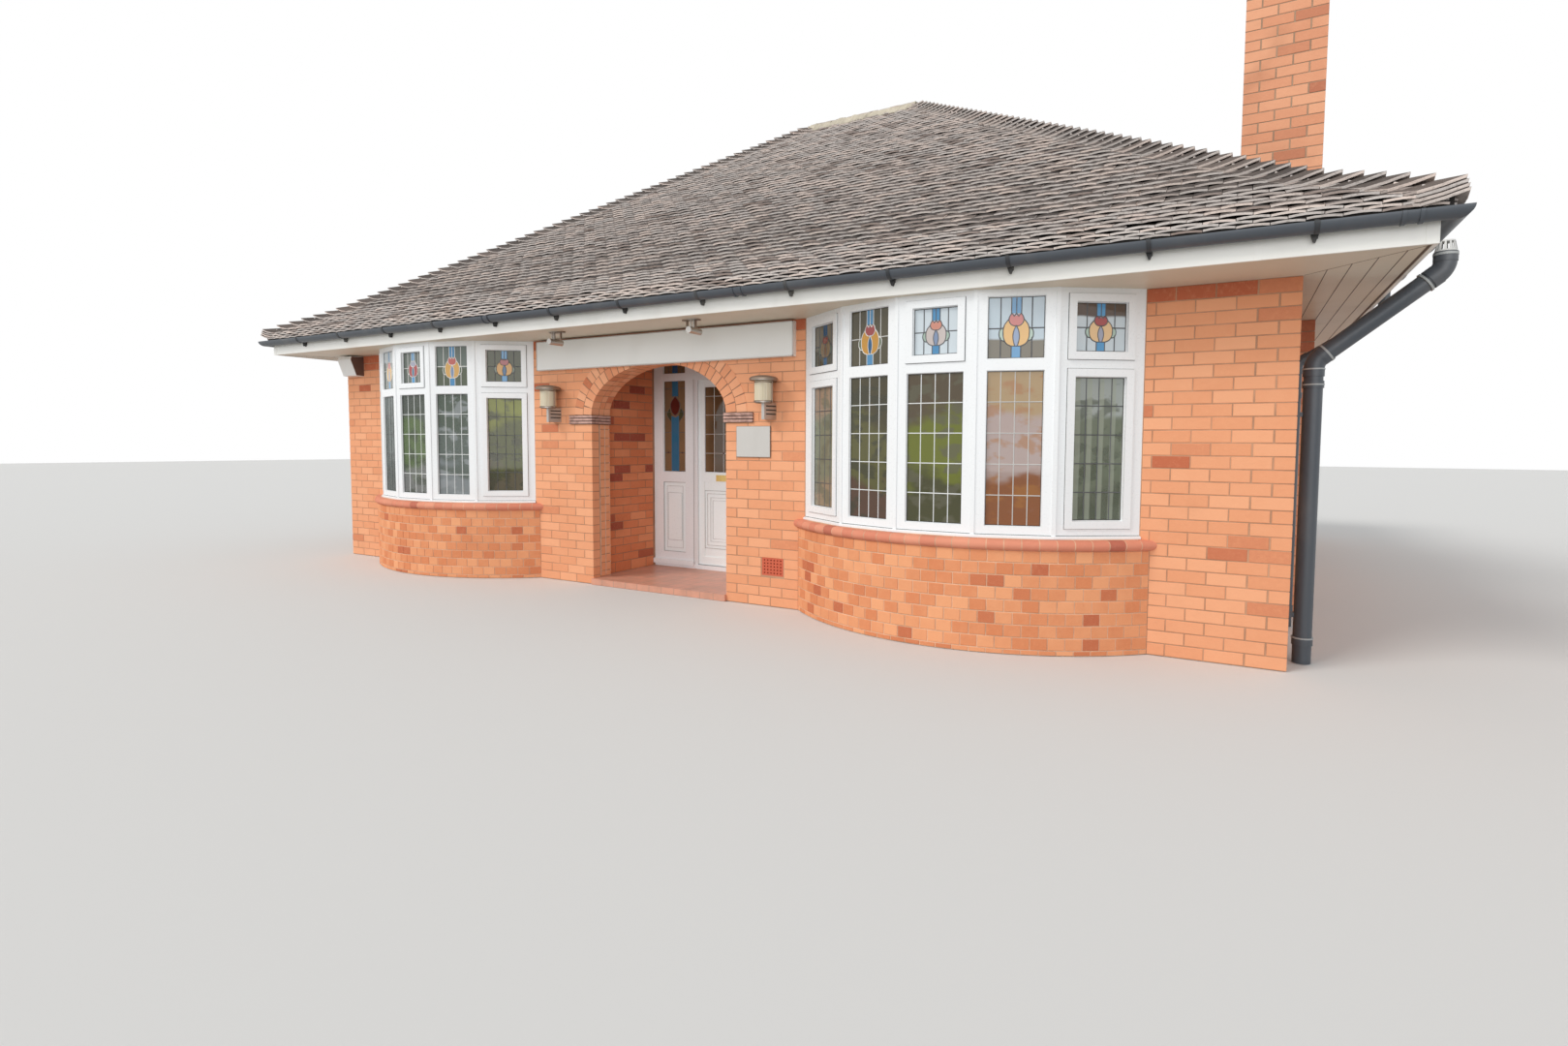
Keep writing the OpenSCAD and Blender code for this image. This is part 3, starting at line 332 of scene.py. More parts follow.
def laying_tree():
    """The unit on every point, turned, sized and then shaken a little, as one mesh."""
    tree = bpy.data.node_groups.new("laying", "GeometryNodeTree")
    for label, kind in SOCKETS.items():
        tree.interface.new_socket(label, in_out="INPUT", socket_type="NodeSocket" + kind)
    tree.interface.new_socket("Laid", in_out="OUTPUT", socket_type="NodeSocketGeometry")
    sheet = Sheet(tree)
    given = tree.nodes.new("NodeGroupInput")
    wire = {label: Wire(sheet, given.outputs[label]) for label in SOCKETS}
    turn, size = (sheet.node("GeometryNodeInputNamedAttribute", {"Name": label}, data_type="FLOAT_VECTOR")
                  for label in ("turn", "size"))
    unit = sheet.node("GeometryNodeObjectInfo", {"Object": wire["Unit"]}, "Geometry")
    turn = sheet.node("FunctionNodeEulerToRotation", {0: turn})
    laid_out = sheet.node("GeometryNodeInstanceOnPoints", {
        "Points": wire["Spots"], "Instance": unit, "Rotation": turn, "Scale": size})
    low, high = (sheet.node("VectorMath", {0: (side, side, side), "Scale": wire["Wobble"]}, operation="SCALE")
                 for side in (-1, 1))
    shake = sheet.node("FunctionNodeRandomValue", {"Min": low, "Max": high, "Seed": wire["Seed"]},
                       data_type="FLOAT_VECTOR")
    loose = sheet.node("FunctionNodeEulerToRotation", {0: shake})
    turned = sheet.node("GeometryNodeRotateInstances", {"Instances": laid_out, "Rotation": loose})
    real = sheet.node("GeometryNodeRealizeInstances", {"Geometry": turned})
    done = sheet.node("GeometryNodeSetMaterial", {"Geometry": real, "Material": wire["Finish"]})
    tree.links.new(done.socket, tree.nodes.new("NodeGroupOutput").inputs[0])
    return tree


LAYING = laying_tree()
INPUT = {item.name: item.identifier for item in LAYING.interface.items_tree if item.in_out == "INPUT"}
print("laying tree:", len(LAYING.nodes), "nodes")


# %% Laying units
def laid(name, unit, spots, finish, wobble=0.0, seed=3, smooth=False, body="building"):
    """Sets the unit on every spot (place, turn, size, tint) and keeps the result as a plain mesh."""
    cloud = bpy.data.meshes.new(name + "_spots")
    cloud.from_pydata([s[0] for s in spots], [], [])
    for label, column in (("turn", 1), ("size", 2)):
        values = cloud.attributes.new(label, "FLOAT_VECTOR", "POINT").data
        values.foreach_set("vector", [v for s in spots for v in s[column]])
    cloud.attributes.new("tint", "FLOAT", "POINT").data.foreach_set("value", [s[3] for s in spots])
    made, pattern = put(name, cloud), put(name + "_unit", unit)
    modifier = made.modifiers.new("laying", "NODES")
    modifier.node_group = LAYING
    for label, value in (("Unit", pattern), ("Finish", finish.material), ("Wobble", wobble), ("Seed", seed)):
        modifier[INPUT[label]] = value
    graph = bpy.context.evaluated_depsgraph_get()
    result = bpy.data.meshes.new_from_object(made.evaluated_get(graph), preserve_all_data_layers=True,
                                             depsgraph=graph)
    made.modifiers.clear()
    made.data = result
    bpy.data.objects.remove(pattern)
    if smooth:
        result.shade_smooth()
        result.set_sharp_from_angle(angle=radians(40))
    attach(made, body)
    print(name, len(spots), "units,", len(result.polygons), "faces")
    return made


print("units are laid from", list(INPUT))

# %% [markdown]
# ## Brick, mortar and tile finishes
#
# Each brick carries one number, its tint, that stands for how hard it was fired and, in the top
# courses under the eaves, also for a painted shade. The finish turns the number into a colour from
# salmon through orange to dark red, and noise on top gives the sanded face and its soot. An image
# of bricks would show its repeat and would have no relief, and here every joint is real depth.

# %% Brick finishes
def brick_finish(name, pale, middle, dark, soot):
    """Fired clay: the tint picks the tone, and noise adds sand, blotches and soot."""
    made = Finish(name, Specular_IOR_Level=0.12)
    tint = made.node("Attribute", out="Fac", attribute_name="tint")
    grain, cloud, blotch = made.noise(260, 2), made.noise(9, 4), made.noise(38, 3)
    body = made.mix((tint + (cloud - 0.5) * 0.25).ramp(0.0, 0.55), pale, middle)
    body = made.mix((tint + (blotch - 0.5) * 0.18).ramp(0.62, 1.0), body, dark)
    body = made.mix((grain * 0.6 + blotch * 0.5).ramp(0.52, 0.78) * 0.35, body, pale)
    body = made.mix(made.noise(2.2, 5).ramp(0.55, 0.85) * soot, body, tuple(0.55 * v for v in middle))
    return made.show(body, 0.82 + 0.12 * grain, grain * 0.5 + blotch, 0.0018)


def mortar_finish(name, colour, plaster=False):
    """Mortar, and the rooms' white plaster on the inner faces of the walls."""
    made = Finish(name, Specular_IOR_Level=0.2)
    grain = made.noise(170, 3)
    body = made.mix(made.noise(5, 4).ramp(0.3, 0.7), colour, tuple(0.72 * v for v in colour))
    body = made.mix(grain.ramp(0.5, 0.8) * 0.5, body, tuple(min(1.0, 1.35 * v) for v in colour))
    if plaster:
        across = made.part("X").math("ABSOLUTE")
        along = made.part("Y")
        back = FRONT + REVEAL
        room = across.ramp(-LEFT - 0.22, -LEFT - 0.23) * along.ramp(back - 0.012, back - 0.004)
        body = made.mix(room * along.ramp(REAR - 0.225, REAR - 0.235), body, (0.78, 0.76, 0.71))
    return made.show(body, 0.92, grain, 0.0012)


# Pale, middle and dark fired clay, and how sooty it is
WALL_BRICK = brick_finish("wall_brick", (0.89, 0.43, 0.24), (0.82, 0.36, 0.19), (0.54, 0.15, 0.075), 0.2)
BASE_BRICK = brick_finish("bay_base_brick", (0.88, 0.41, 0.21), (0.72, 0.26, 0.12), (0.55, 0.16, 0.08), 0.15)
PORCH_BRICK = brick_finish("porch_brick", (0.80, 0.32, 0.16), (0.68, 0.22, 0.10), (0.36, 0.085, 0.055), 0.5)
ARCH_BRICK = brick_finish("arch_brick", (0.90, 0.45, 0.26), (0.80, 0.34, 0.18), (0.60, 0.20, 0.10), 0.15)
CHIMNEY_BRICK = brick_finish("chimney_brick", (0.84, 0.42, 0.25), (0.74, 0.33, 0.19), (0.52, 0.19, 0.11), 0.4)
SILL_BRICK = brick_finish("sill_brick", (0.80, 0.34, 0.22), (0.70, 0.25, 0.16), (0.50, 0.15, 0.10), 0.2)
WALL_MORTAR = mortar_finish("wall_mortar", (0.60, 0.34, 0.21), plaster=True)
STACK_MORTAR = mortar_finish("stack_mortar", (0.46, 0.31, 0.21))
ARCH_MORTAR = mortar_finish("arch_mortar", (0.40, 0.22, 0.14))
BASE_MORTAR = mortar_finish("base_mortar", (0.82, 0.52, 0.34))
PORCH_MORTAR = mortar_finish("porch_mortar", (0.44, 0.24, 0.15))
LIME = mortar_finish("lime_joint", (0.86, 0.70, 0.56))
print("brick and mortar finishes:", len(bpy.data.materials))

# %% [markdown]
# ## Bricks
#
# The walls are in stretcher bond: every course shifts by half a brick, 235 mm long and
# 85 mm high with its joints. A unit for a flat wall is a thin plate that stands 3.5 mm proud
# of the mortar, with a worn edge. At a corner one whole block shows on both faces, long on
# one face and short on the other, and the courses take turns.

# %% Brick units
BRICK, COURSE, JOINT, PROUD = 0.235, 0.085, 0.0075, 0.0035


def plate_unit():
    """One brick face, 1 by 1, facing -Y, with its worn edge and its back in the mortar."""
    rings = [[(x * wide, y, z * high) for x, z in ((-0.5, -0.5), (0.5, -0.5), (0.5, 0.5), (-0.5, 0.5))]
             for y, wide, high in ((0.006, 1, 1), (-0.0012, 1, 1), (-PROUD, 0.974, 0.93))]
    return Shape().rings(rings).mesh("brick_plate")


def block_unit(taper=0.0):
    """A whole block, 1 by 1 by 1, with all its edges worn; a tapered one is wider at its head."""
    made = bmesh.new()
    bmesh.ops.create_cube(made, size=1)
    bmesh.ops.bevel(made, geom=made.edges[:], offset=0.016, segments=1, affect="EDGES")
    for vert in made.verts:
        vert.co.x *= 1 + taper * vert.co.z
    mesh = bpy.data.meshes.new("brick_block")
    made.to_mesh(mesh)
    made.free()
    return mesh


PLATE, BLOCK, WEDGE = plate_unit(), block_unit(), block_unit(0.16)
chance = random.Random(11)
print("faces of a plate and a block:", len(PLATE.polygons), len(BLOCK.polygons))


# %% Courses
# The thinnest slip of brick that is laid
THIN = 0.03


def fired(dark=0.12, shift=0.0):
    """How hard one brick was fired: mostly even, and now and then much harder."""
    hard = chance.random() < dark
    return min(1.0, max(0.0, (chance.uniform(0.72, 1.0) if hard else chance.gauss(0.30, 0.16)) + shift))


class Face:
    """A flat wall face: where it starts, and its turn about Z (0 faces the street)."""

    def __init__(self, x, y, degrees):
        self.start, self.turn = vec(x, y, 0), radians(degrees)
        self.along = vec(cos(self.turn), sin(self.turn), 0)

    def spot(self, s0, s1, z0, z1, tint):
        place = self.start + self.along * (s0 + s1) / 2 + vec(0, 0, (z0 + z1) / 2)
        return place, (0, 0, self.turn), (s1 - s0 - JOINT, 1, z1 - z0 - JOINT), tint


def tint_with_eaves_shade(z):
    """The top two courses under the eaves are darker: harder fired bricks, and painted shade of the eaves."""
    left = SOFFIT - z
    if left < 1.3 * COURSE:
        return fired(0.95, 0.5)
    return fired(0.25, 0.25) if left < 2.3 * COURSE else fired(0.04)


def levels(z0, z1, bed=0.0):
    """Number, foot and head of each course between two heights; a thin one joins its neighbour."""
    found = []
    for k in range(-1, 90):
        low, high = max(z0, bed + k * COURSE), bed + (k + 1) * COURSE
        high = z1 if high > z1 - THIN else high
        if high - low > THIN and not (found and found[-1][2] == z1):
            found.append((k, low if found else z0, high))
    return found


def courses(face, anchor, s0, s1, z0=0.0, z1=SOFFIT, pitch=BRICK, holes=(), shift=0, blocks=(),
            block_top=9.0, tint=tint_with_eaves_shade, bed=0.0):
    """Plates from s0 to s1 with joints counted from anchor, around holes (s, s, z, z). Where blocks
    turn a corner, the plate beside it is left out."""
    spots = []
    for k, low, high in levels(z0, z1, bed):
        free = [(s0, s1)]
        for a, b, c, d in holes:
            if low < d - THIN and high > c + THIN:
                cut = [ends for p, q in free for ends in ((p, min(q, a)), (max(p, b), q))]
                free = [(p, q) for p, q in cut if q > p]
        for p, q in free:
            first = anchor + ((k + shift) % 2) * pitch / 2
            marks = [m for m in (first + n * pitch for n in range(-60, 60)) if p + 0.05 < m < q - 0.05]
            for a, b in zip([p] + marks, marks + [q]):
                beside = any(min(abs(a - at), abs(b - at)) < 0.002 for at in blocks)
                if b - a > THIN and not (beside and high < block_top + 0.01):
                    spots.append(face.spot(a, b, low, high, tint(low)))
    return spots


def corner(x, y, sx, sy, z0=0.0, z1=SOFFIT, long=BRICK, short=BRICK / 2, shift=0, tint=tint_with_eaves_shade,
           flat=None, bed=0.0):
    """Blocks up an outside corner whose faces point to sx along X and sy along Y."""
    spots = []
    for k, low, high in levels(z0, z1, bed):
        a, b = (long, short) if (k + shift) % 2 == 0 else (short, long)
        size = (a - JOINT + PROUD, (flat or b) - JOINT + PROUD, high - low - JOINT)
        middle = vec(x + sx * (PROUD - size[0] / 2), y + sy * (PROUD - size[1] / 2), (low + high) / 2)
        spots.append((middle, (0, 0, 0), size, tint(low)))
    return spots


print("courses up to the soffit:", len(levels(0, SOFFIT)))

# %% [markdown]
# ### The street front
#
# The front is four brick strips between the corners, the bays and the arch. Joints are
# counted from the corner or the arch jamb, where a bricklayer starts, and are cut at the bays.

# %% Front bricks
street = Face(LEFT, FRONT, 0)
JAMBS = (ARCH_X - ARCH_HALF, ARCH_X + ARCH_HALF)
JAMB = [x - LEFT for x in JAMBS]
IMPOST = span("arch_imposts", 2)[0]
IMPOST_W = JAMBS[0] - span("arch_imposts", 0)[0]


def arch_half(z, grow):
    """Half of the arch's width at a height, on the ellipse grown by some depth."""
    up = min(1.0, max(0.0, (z - SPRING) / (RISE + grow)))
    return (ARCH_HALF + grow) * sqrt(1 - up * up)


holes = []
base_half, frame_half = sqrt(BASE_R ** 2 - (BAY_Y - FRONT) ** 2), BAY_R * sin(BAY_ANGLE) + 0.003
for x in BAYS:
    holes += [(x - half - LEFT, x + half - LEFT, low, high)
              for half, low, high in ((base_half, 0, SILL + 0.026), (frame_half, SILL + 0.026, 3))]
holes += [(*JAMB, 0, IMPOST), (JAMB[0] - IMPOST_W, JAMB[1] + IMPOST_W, IMPOST, SPRING)]
for k, low, high in levels(SPRING, SPRING + RISE + RING):
    half = arch_half(high, RING)
    holes.append((ARCH_X - half - LEFT, ARCH_X + half - LEFT, low, high))
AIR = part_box("air_bricks")
holes.append((AIR[0].x - LEFT - 0.006, AIR[1].x - LEFT + 0.006, AIR[0].z, AIR[1].z))

wide = RIGHT - LEFT
front = []
for anchor, x0, x1, top in ((0, LEFT, BAYS[0], 9), (wide, BAYS[1], RIGHT, 9),
                            (JAMB[0], BAYS[0], ARCH_X, IMPOST), (JAMB[1], ARCH_X, BAYS[1], IMPOST)):
    front += courses(street, anchor, x0 - LEFT, x1 - LEFT, holes=holes, blocks=(anchor,), block_top=top)
laid("front_bricks", PLATE, front, WALL_BRICK, wobble=0.004)

# %% [markdown]
# ### Sides and rear
#
# The other walls repeat the bond around the plain windows and the chimney.

# %% Side and rear bricks
PLAIN_HALF = 0.75
PLAIN_Z = (span("casement_sills", 2)[0], span("casement_frames", 2)[1])
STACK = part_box("chimney_stack")
STACK_X = (round(STACK[0].x, 4) + 0.03, round(STACK[1].x, 4) - 0.03)
STACK_Y = (round(STACK[0].y, 4) + 0.03, round(STACK[1].y, 4) - 0.03)
deep = REAR - FRONT


def windows(*middles):
    return [(s - PLAIN_HALF, s + PLAIN_HALF, *PLAIN_Z) for s in middles]


# Each wall: where it starts, its length, its holes and which courses start with half a brick
for name, face, length, gaps, shift in (
        ("right", Face(RIGHT, FRONT, 90), deep,
         windows(1.7 - FRONT) + [(STACK_Y[0] - FRONT, STACK_Y[1] - FRONT, 0, 3)], 1),
        ("left", Face(LEFT, REAR, 270), deep, windows(REAR + 1.9, REAR - 1.9), 1),
        ("rear", Face(RIGHT, REAR, 180), wide, windows(RIGHT + 2.9, RIGHT, RIGHT - 2.9), 0)):
    spots = courses(face, 0, 0, length, pitch=length / round(length / BRICK), holes=gaps, shift=shift,
                    blocks=(0, length))
    laid(name + "_bricks", PLATE, spots, WALL_BRICK, wobble=0.004)

# %% Corner blocks
blocks = [spot for x, sx in ((LEFT, -1), (RIGHT, 1)) for y, sy in ((FRONT, -1), (REAR, 1))
          for spot in corner(x, y, sx, sy)]
laid("corner_bricks", BLOCK, blocks, WALL_BRICK, wobble=0.002)

# %% [markdown]
# ### The arch and the porch
#
# Two rings of headers turn over the entrance, 28 in the inner and 34 in the outer one, so their
# joints don't line up. The inner ring goes through the wall as three bricks. The jambs under it
# show two upright pale joints where an inner skin meets the outer one.

# %% Arch, jambs and porch walls
porch_z = span("porch_floor", 2)[1]
jambs = [spot for x, sx in zip(JAMBS, (1, -1)) for spot in corner(x, FRONT, sx, -1, 0, IMPOST, flat=0.098)]
laid("jamb_blocks", BLOCK, jambs, WALL_BRICK, wobble=0.002)
skins = []
for face, cuts in ((Face(JAMBS[0], FRONT, 90), (0.108, 0.172, REVEAL + 0.004)),
                   (Face(JAMBS[1], FRONT + REVEAL, 270), (-0.004, 0.068, 0.132))):
    for a, b in zip(cuts, cuts[1:]):
        skins += courses(face, a, a, b, porch_z, IMPOST, pitch=9, bed=0.03 * (a > 0.1))
laid("jamb_skins", PLATE, skins, WALL_BRICK, wobble=0.004)
joints = Shape()
for x, out in zip(JAMBS, (1, -1)):
    for back, width in ((0.101, 0.004), (0.169, 0.006)):
        y = FRONT + back
        joints.box((x - 0.002 * out, y, porch_z + 0.02), (x + 0.003 * out, y + width, IMPOST - 0.01))
joints.piece("jamb_joints", LIME, "brick")

PORCH_BACK = span("entrance_frame", 1)[0]
depth = PORCH_BACK - FRONT - REVEAL
porch = []
for face, anchor in ((Face(span("porch_left_wall", 0)[1], FRONT + REVEAL, 90), 0),
                     (Face(span("porch_right_wall", 0)[0], PORCH_BACK, 270), depth)):
    porch += courses(face, anchor, 0, depth, porch_z, span("porch_ceiling", 2)[0],
                     tint=lambda z: fired(0.16, 0.1))
laid("porch_bricks", PLATE, porch, PORCH_BRICK, wobble=0.004)


def arch_line(grow, y, count):
    """Points over the arch on its ellipse, grown by some depth."""
    wide, high = ARCH_HALF + grow, RISE + grow
    return [vec(ARCH_X - wide * cos(t), y, SPRING + high * sin(t)) for t in angles(count)]


def ellipse_walk(grow, count, fine=2000):
    """Middles, slopes and step of equally long steps along the arch's ellipse."""
    line, lengths = arch_line(grow, 0, fine), [0.0]
    for a, b in zip(line, line[1:]):
        lengths.append(lengths[-1] + (b - a).length)
    step, found, at = lengths[-1] / count, [], 0
    for i in range(count):
        while lengths[at] < (i + 0.5) * step:
            at += 1
        along = line[min(at + 1, fine)] - line[at - 1]
        found.append((line[at], atan2(-along.z, along.x)))
    return found, step


voussoirs = []
# The inner ring runs through the wall as three bricks, the outer one is one brick deep
for grow, count, cuts in ((RING * 0.25 - 0.004, 28, (-0.010, 0.100, 0.167, REVEAL + 0.010)),
                          (RING * 0.755, 34, (-0.010, 0.093))):
    found, step = ellipse_walk(grow, count)
    for y0, y1 in zip(cuts, cuts[1:]):
        size = (step - 0.009, y1 - y0 - 0.006, RING / 2 - 0.002)
        voussoirs += [((place.x, FRONT + (y0 + y1) / 2, place.z), (0, tilt, 0), size, fired(0.05))
                      for place, tilt in found]
laid("arch_bricks", WEDGE, voussoirs, ARCH_BRICK, wobble=0.004)
inner, outer = arch_line(0.004, FRONT - 0.0042, 48), arch_line(RING - 0.001, FRONT - 0.0042, 48)
deeper = vec(0, 0.012, 0)
Shape().rings([[a, b, b + deeper, a + deeper] for a, b in zip(inner, outer)]).piece(
    "arch_joints", ARCH_MORTAR, "arch_brick")

# %% [markdown]
# ### Bay bases and their sills
#
# A tight curve can't be built in stretchers, so each bay base is all headers, 118 mm apart
# along its face. Its sill is a row of bullnosed bricks. They are one unit turned about the
# middle of the bay's circle.

# %% Bay bases and sills
def on_bay(x, radius, angle, z):
    return vec(x + radius * sin(angle), BAY_Y - radius * cos(angle), z)


headers, noses = [], []
reach, nose_reach = acos((BAY_Y - FRONT) / BASE_R), acos((BAY_Y - FRONT) / NOSE_R)
count, nose_count = round(2 * reach * BASE_R / (BRICK / 2)), 27
step = 2 * reach / count
for x in BAYS:
    for k, low, high in levels(0, SILL, SILL - 8 * COURSE):
        for i in range(-1 if k % 2 else 0, count):
            a = max(-reach, -reach + step * (i + 0.5 * (k % 2)))
            b = min(reach, -reach + step * (i + 1 + 0.5 * (k % 2)))
            if (b - a) * BASE_R > THIN:
                size = ((b - a) * BASE_R - JOINT, 1, high - low - JOINT)
                place = on_bay(x, BASE_R, (a + b) / 2, (low + high) / 2)
                headers.append((place, (0, 0, (a + b) / 2), size, fired(0.09)))
    for i in range(nose_count):
        angle = nose_reach * (2 * (i + 0.5) / nose_count - 1)
        noses.append(((x, BAY_Y, SILL), (0, 0, angle), (1, 1, 1), fired(0.06)))
laid("bay_base_bricks", PLATE, headers, BASE_BRICK, wobble=0.005)

# The nose's section: radius and height above the sill's foot
half = nose_reach / nose_count - 0.0035 / NOSE_R
high = SILL_TOP - SILL
axis, r, out = high * 0.46, high * 0.46 + 0.0015, NOSE_R - high * 0.46
profile = [(BAY_R - 0.06, high + 0.0015)] + [(out + r * sin(t), axis + r * cos(t)) for t in angles(8)]
profile += [(BAY_R - 0.06, -0.0015)]
nose = Shape().rings([[(q * sin(a), -q * cos(a), z) for q, z in profile] for a in (-half, half)])
laid("sill_noses", nose.mesh("sill_nose"), noses, SILL_BRICK, smooth=True)

# %% [markdown]
# ### Chimney
#
# The stack is 580 by 465 mm, two and a half bricks by two, so its bond repeats every other
# course: long blocks at the corners with a header between, then short blocks.

# %% Chimney bricks
def stack(x0, x1, y0, y1, z0, z1, bed):
    """Blocks and plates around a stack. Long and short blocks change sides from course to course."""
    def soot_and_eaves_shade(z):
        # Under the eaves the bricks are made darker: soot, and painted shade of the eaves.
        return fired(1.0, 0.5) if SOFFIT - 0.3 < z < SOFFIT else fired(0.14, 0.05)

    long, short = (y1 - y0) / 2, (y1 - y0) / 4
    corners = [spot for x, sx in ((x0, -1), (x1, 1)) for y, sy in ((y0, -1), (y1, 1))
               for spot in corner(x, y, sx, sy, z0, z1, long, short, sx > 0, soot_and_eaves_shade, bed=bed)]
    plates = []
    for k, low, high in levels(z0, z1, bed):
        ends = (long, short) if k % 2 == 0 else (short, long)
        side = Face(x0, y1, 270) if k % 2 == 0 else Face(x1, y0, 90)
        for face, length, a, b in ((Face(x0, y0, 0), x1 - x0, *ends),
                                   (Face(x1, y1, 180), x1 - x0, *ends[::-1]), (side, y1 - y0, short, short)):
            plates.append(face.spot(a, length - b, low, high, soot_and_eaves_shade(low)))
    return corners, plates


# Foot, head, how far it stands out and first bed joint of each length of the stack
LENGTHS = ((0.0, SOFFIT, 0, 0), (2.82, 5.58, 0, 5.58 - 33 * COURSE), (5.58, 5.664, 0.015, 5.58),
           (5.664, 5.916, 0.03, 5.664), (5.916, STACK[1].z, 0, 5.916))
corners, plates = [], []
for z0, z1, out, bed in LENGTHS:
    found = stack(STACK_X[0] - out, STACK_X[1] + out, STACK_Y[0] - out, STACK_Y[1] + out, z0, z1, bed)
    for kind, spots in zip((corners, plates), found):
        # Under the eaves the inner half of the stack is inside the wall
        kind += [s for s in spots if s[0][0] > RIGHT - 0.02 or z0 > SOFFIT]
laid("chimney_blocks", BLOCK, corners, CHIMNEY_BRICK, wobble=0.004)
laid("chimney_bricks", PLATE, plates, CHIMNEY_BRICK, wobble=0.005)

# %% [markdown]
# ## Roof tiles
#
# Plain clay tiles, 165 mm wide, show 100 mm of their length. Each lies on the tails of the
# two courses below it, so it slopes a little less than the roof and its tail stands up as a
# thick edge that catches the light. Real tiles are bowed, which leaves dark gaps under them.
# The finish paints the tails pale, a painted highlight, and the tops dark, a painted shade of
# those gaps. Some 8,700 tiles are one unit of 36 triangles, laid by Geometry Nodes.

# %% Tile finish
def tile_finish(name, faces, tails):
    """Tops and tails of the tiles: the tint picks between pink, grey and brown clay. The dark tops are painted
    shade of the gaps, the pale tails a painted highlight.
    """
    made = Finish(name, Specular_IOR_Level=0.2)
    tint = made.node("Attribute", out="Fac", attribute_name="tint")
    grain, cloud = made.noise(120, 3), made.noise(2.6, 4)
    pick = tint * 0.75 + 0.08 + (cloud - 0.5) * 0.25
    body, tail = (made.mix(pick.ramp(0.55, 0.95), made.mix(pick.ramp(0.05, 0.5), a, b), c)
                  for a, b, c in (faces, tails))
    body = made.mix(made.noise(31, 4).ramp(0.52, 0.72) * 0.3, body, (0.25, 0.235, 0.21))
    tail = made.mix(made.noise(45, 4).ramp(0.5, 0.75) * 0.4, tail, (0.24, 0.20, 0.175))
    # Flatter tops take the dark tones, painted shade; upright tails take the pale ones, painted highlight
    body = made.mix(made.facing("Z").ramp(0.55, 0.35), body, tail)
    return made.show(body, 0.8 + 0.15 * grain, grain + cloud, 0.002)


# Dark top tones are painted shade of the gaps, pale tail tones a painted highlight
TILE = tile_finish("roof_tile", ((0.155, 0.125, 0.11), (0.085, 0.07, 0.063), (0.04, 0.033, 0.03)),
                   ((0.92, 0.78, 0.70), (0.74, 0.68, 0.64), (0.36, 0.27, 0.23)))
RIDGE = mortar_finish("ridge_mortar", (0.60, 0.54, 0.43))
UNDERLAY = Finish("roof_underside", Roughness=0.9)
UNDERLAY.show(UNDERLAY.mix(UNDERLAY.noise(30), (0.02, 0.018, 0.017), (0.045, 0.04, 0.037)))
print("roof finishes:", TILE.material.name, RIDGE.material.name, UNDERLAY.material.name)

# %% Tile unit and slopes
TILE_W, TILE_L, TILE_T, CAMBER = 0.168, 0.168, 0.013, 0.006
# The length that shows, how far a tail stands over the roof's solid and how much flatter a tile lies
GAUGE, TAIL, LEAN = 0.0997, 0.023, radians(8.8)


def tile_unit():
    """A cambered tile one metre wide, its tail at the origin."""
    line = [(x, CAMBER * (1 - 4 * x * x)) for x in (-0.5, -0.27, 0, 0.27, 0.5)]
    return Shape().rings([[(x, y, z + TILE_T) for x, z in line] + [(x, y, z) for x, z in line[::-1]]
                          for y in (0.0, TILE_L)]).mesh("plain_tile")


def roof_at(run):
    """Height of the roof and its slope at a plan distance from the eaves."""
    if run < SPROCKET:
        return EAVES_Z + run * tan(KICK), KICK
    return BREAK_Z + (run - SPROCKET) * tan(PITCH), PITCH


# Each row: plan distance from the eaves and how far it hangs under the roof's surface
rows = [(-0.030, 0.060), (-0.026, 0.040), (-0.021, 0.020)]
rows += [(i * SPROCKET / 6 - 0.016 * (i == 0), 0) for i in range(6)]
main_count = round((EAVES_Y - SPROCKET) / cos(PITCH) / GAUGE)
rows += [(SPROCKET + i * (EAVES_Y - SPROCKET) / main_count, 0) for i in range(main_count)]


def slope_spots(turn, reach, half):
    """Tiles of one slope: its turn about Z, the distance of its eaves and half their length."""
    spots, around = [], Matrix.Rotation(turn, 3, "Z")
    for i, (run, hang) in enumerate(rows):
        height, slope = roof_at(run + 1e-6)
        hip = half - run - 0.05
        edges, u = [], (TILE_W / 2 if i % 2 else 0.0)
        while u < hip - 0.06:
            edges.append(u)
            u += TILE_W
        edges.append(hip)
        edges = [-e for e in reversed(edges[edges[0] == 0:])] + edges
        for a, b in zip(edges, edges[1:]):
            # No two tiles lie quite alike
            lift = TAIL - hang + chance.uniform(-0.003, 0.004)
            local = vec((a + b) / 2, -reach + run, height) + lift * vec(0, -sin(slope), cos(slope))
            tilt = slope - LEAN + chance.gauss(0, 0.012)
            spots.append((around @ local, (tilt, 0, turn), (b - a - 0.004, 1, 1), chance.random()))
    return spots


tile = tile_unit()
for name, turn, away, half in (("front_tiles", 0, EAVES_Y, EAVES_X), ("right_tiles", 90, EAVES_X, EAVES_Y),
                               ("rear_tiles", 180, EAVES_Y, EAVES_X), ("left_tiles", 270, EAVES_X, EAVES_Y)):
    spots = slope_spots(radians(turn), away, half)
    laid(name, tile, spots, TILE, wobble=0.02, seed=turn + 1)

# %% [markdown]
# ### Hips and ridge
#
# A hip is where two slopes meet at an outer corner. Here every course turns the corner with a
# saddle-shaped tile, raised over the line of the hip, so the hip reads as a flight of steps
# against the sky. The ridge is half-round tiles in pale mortar.

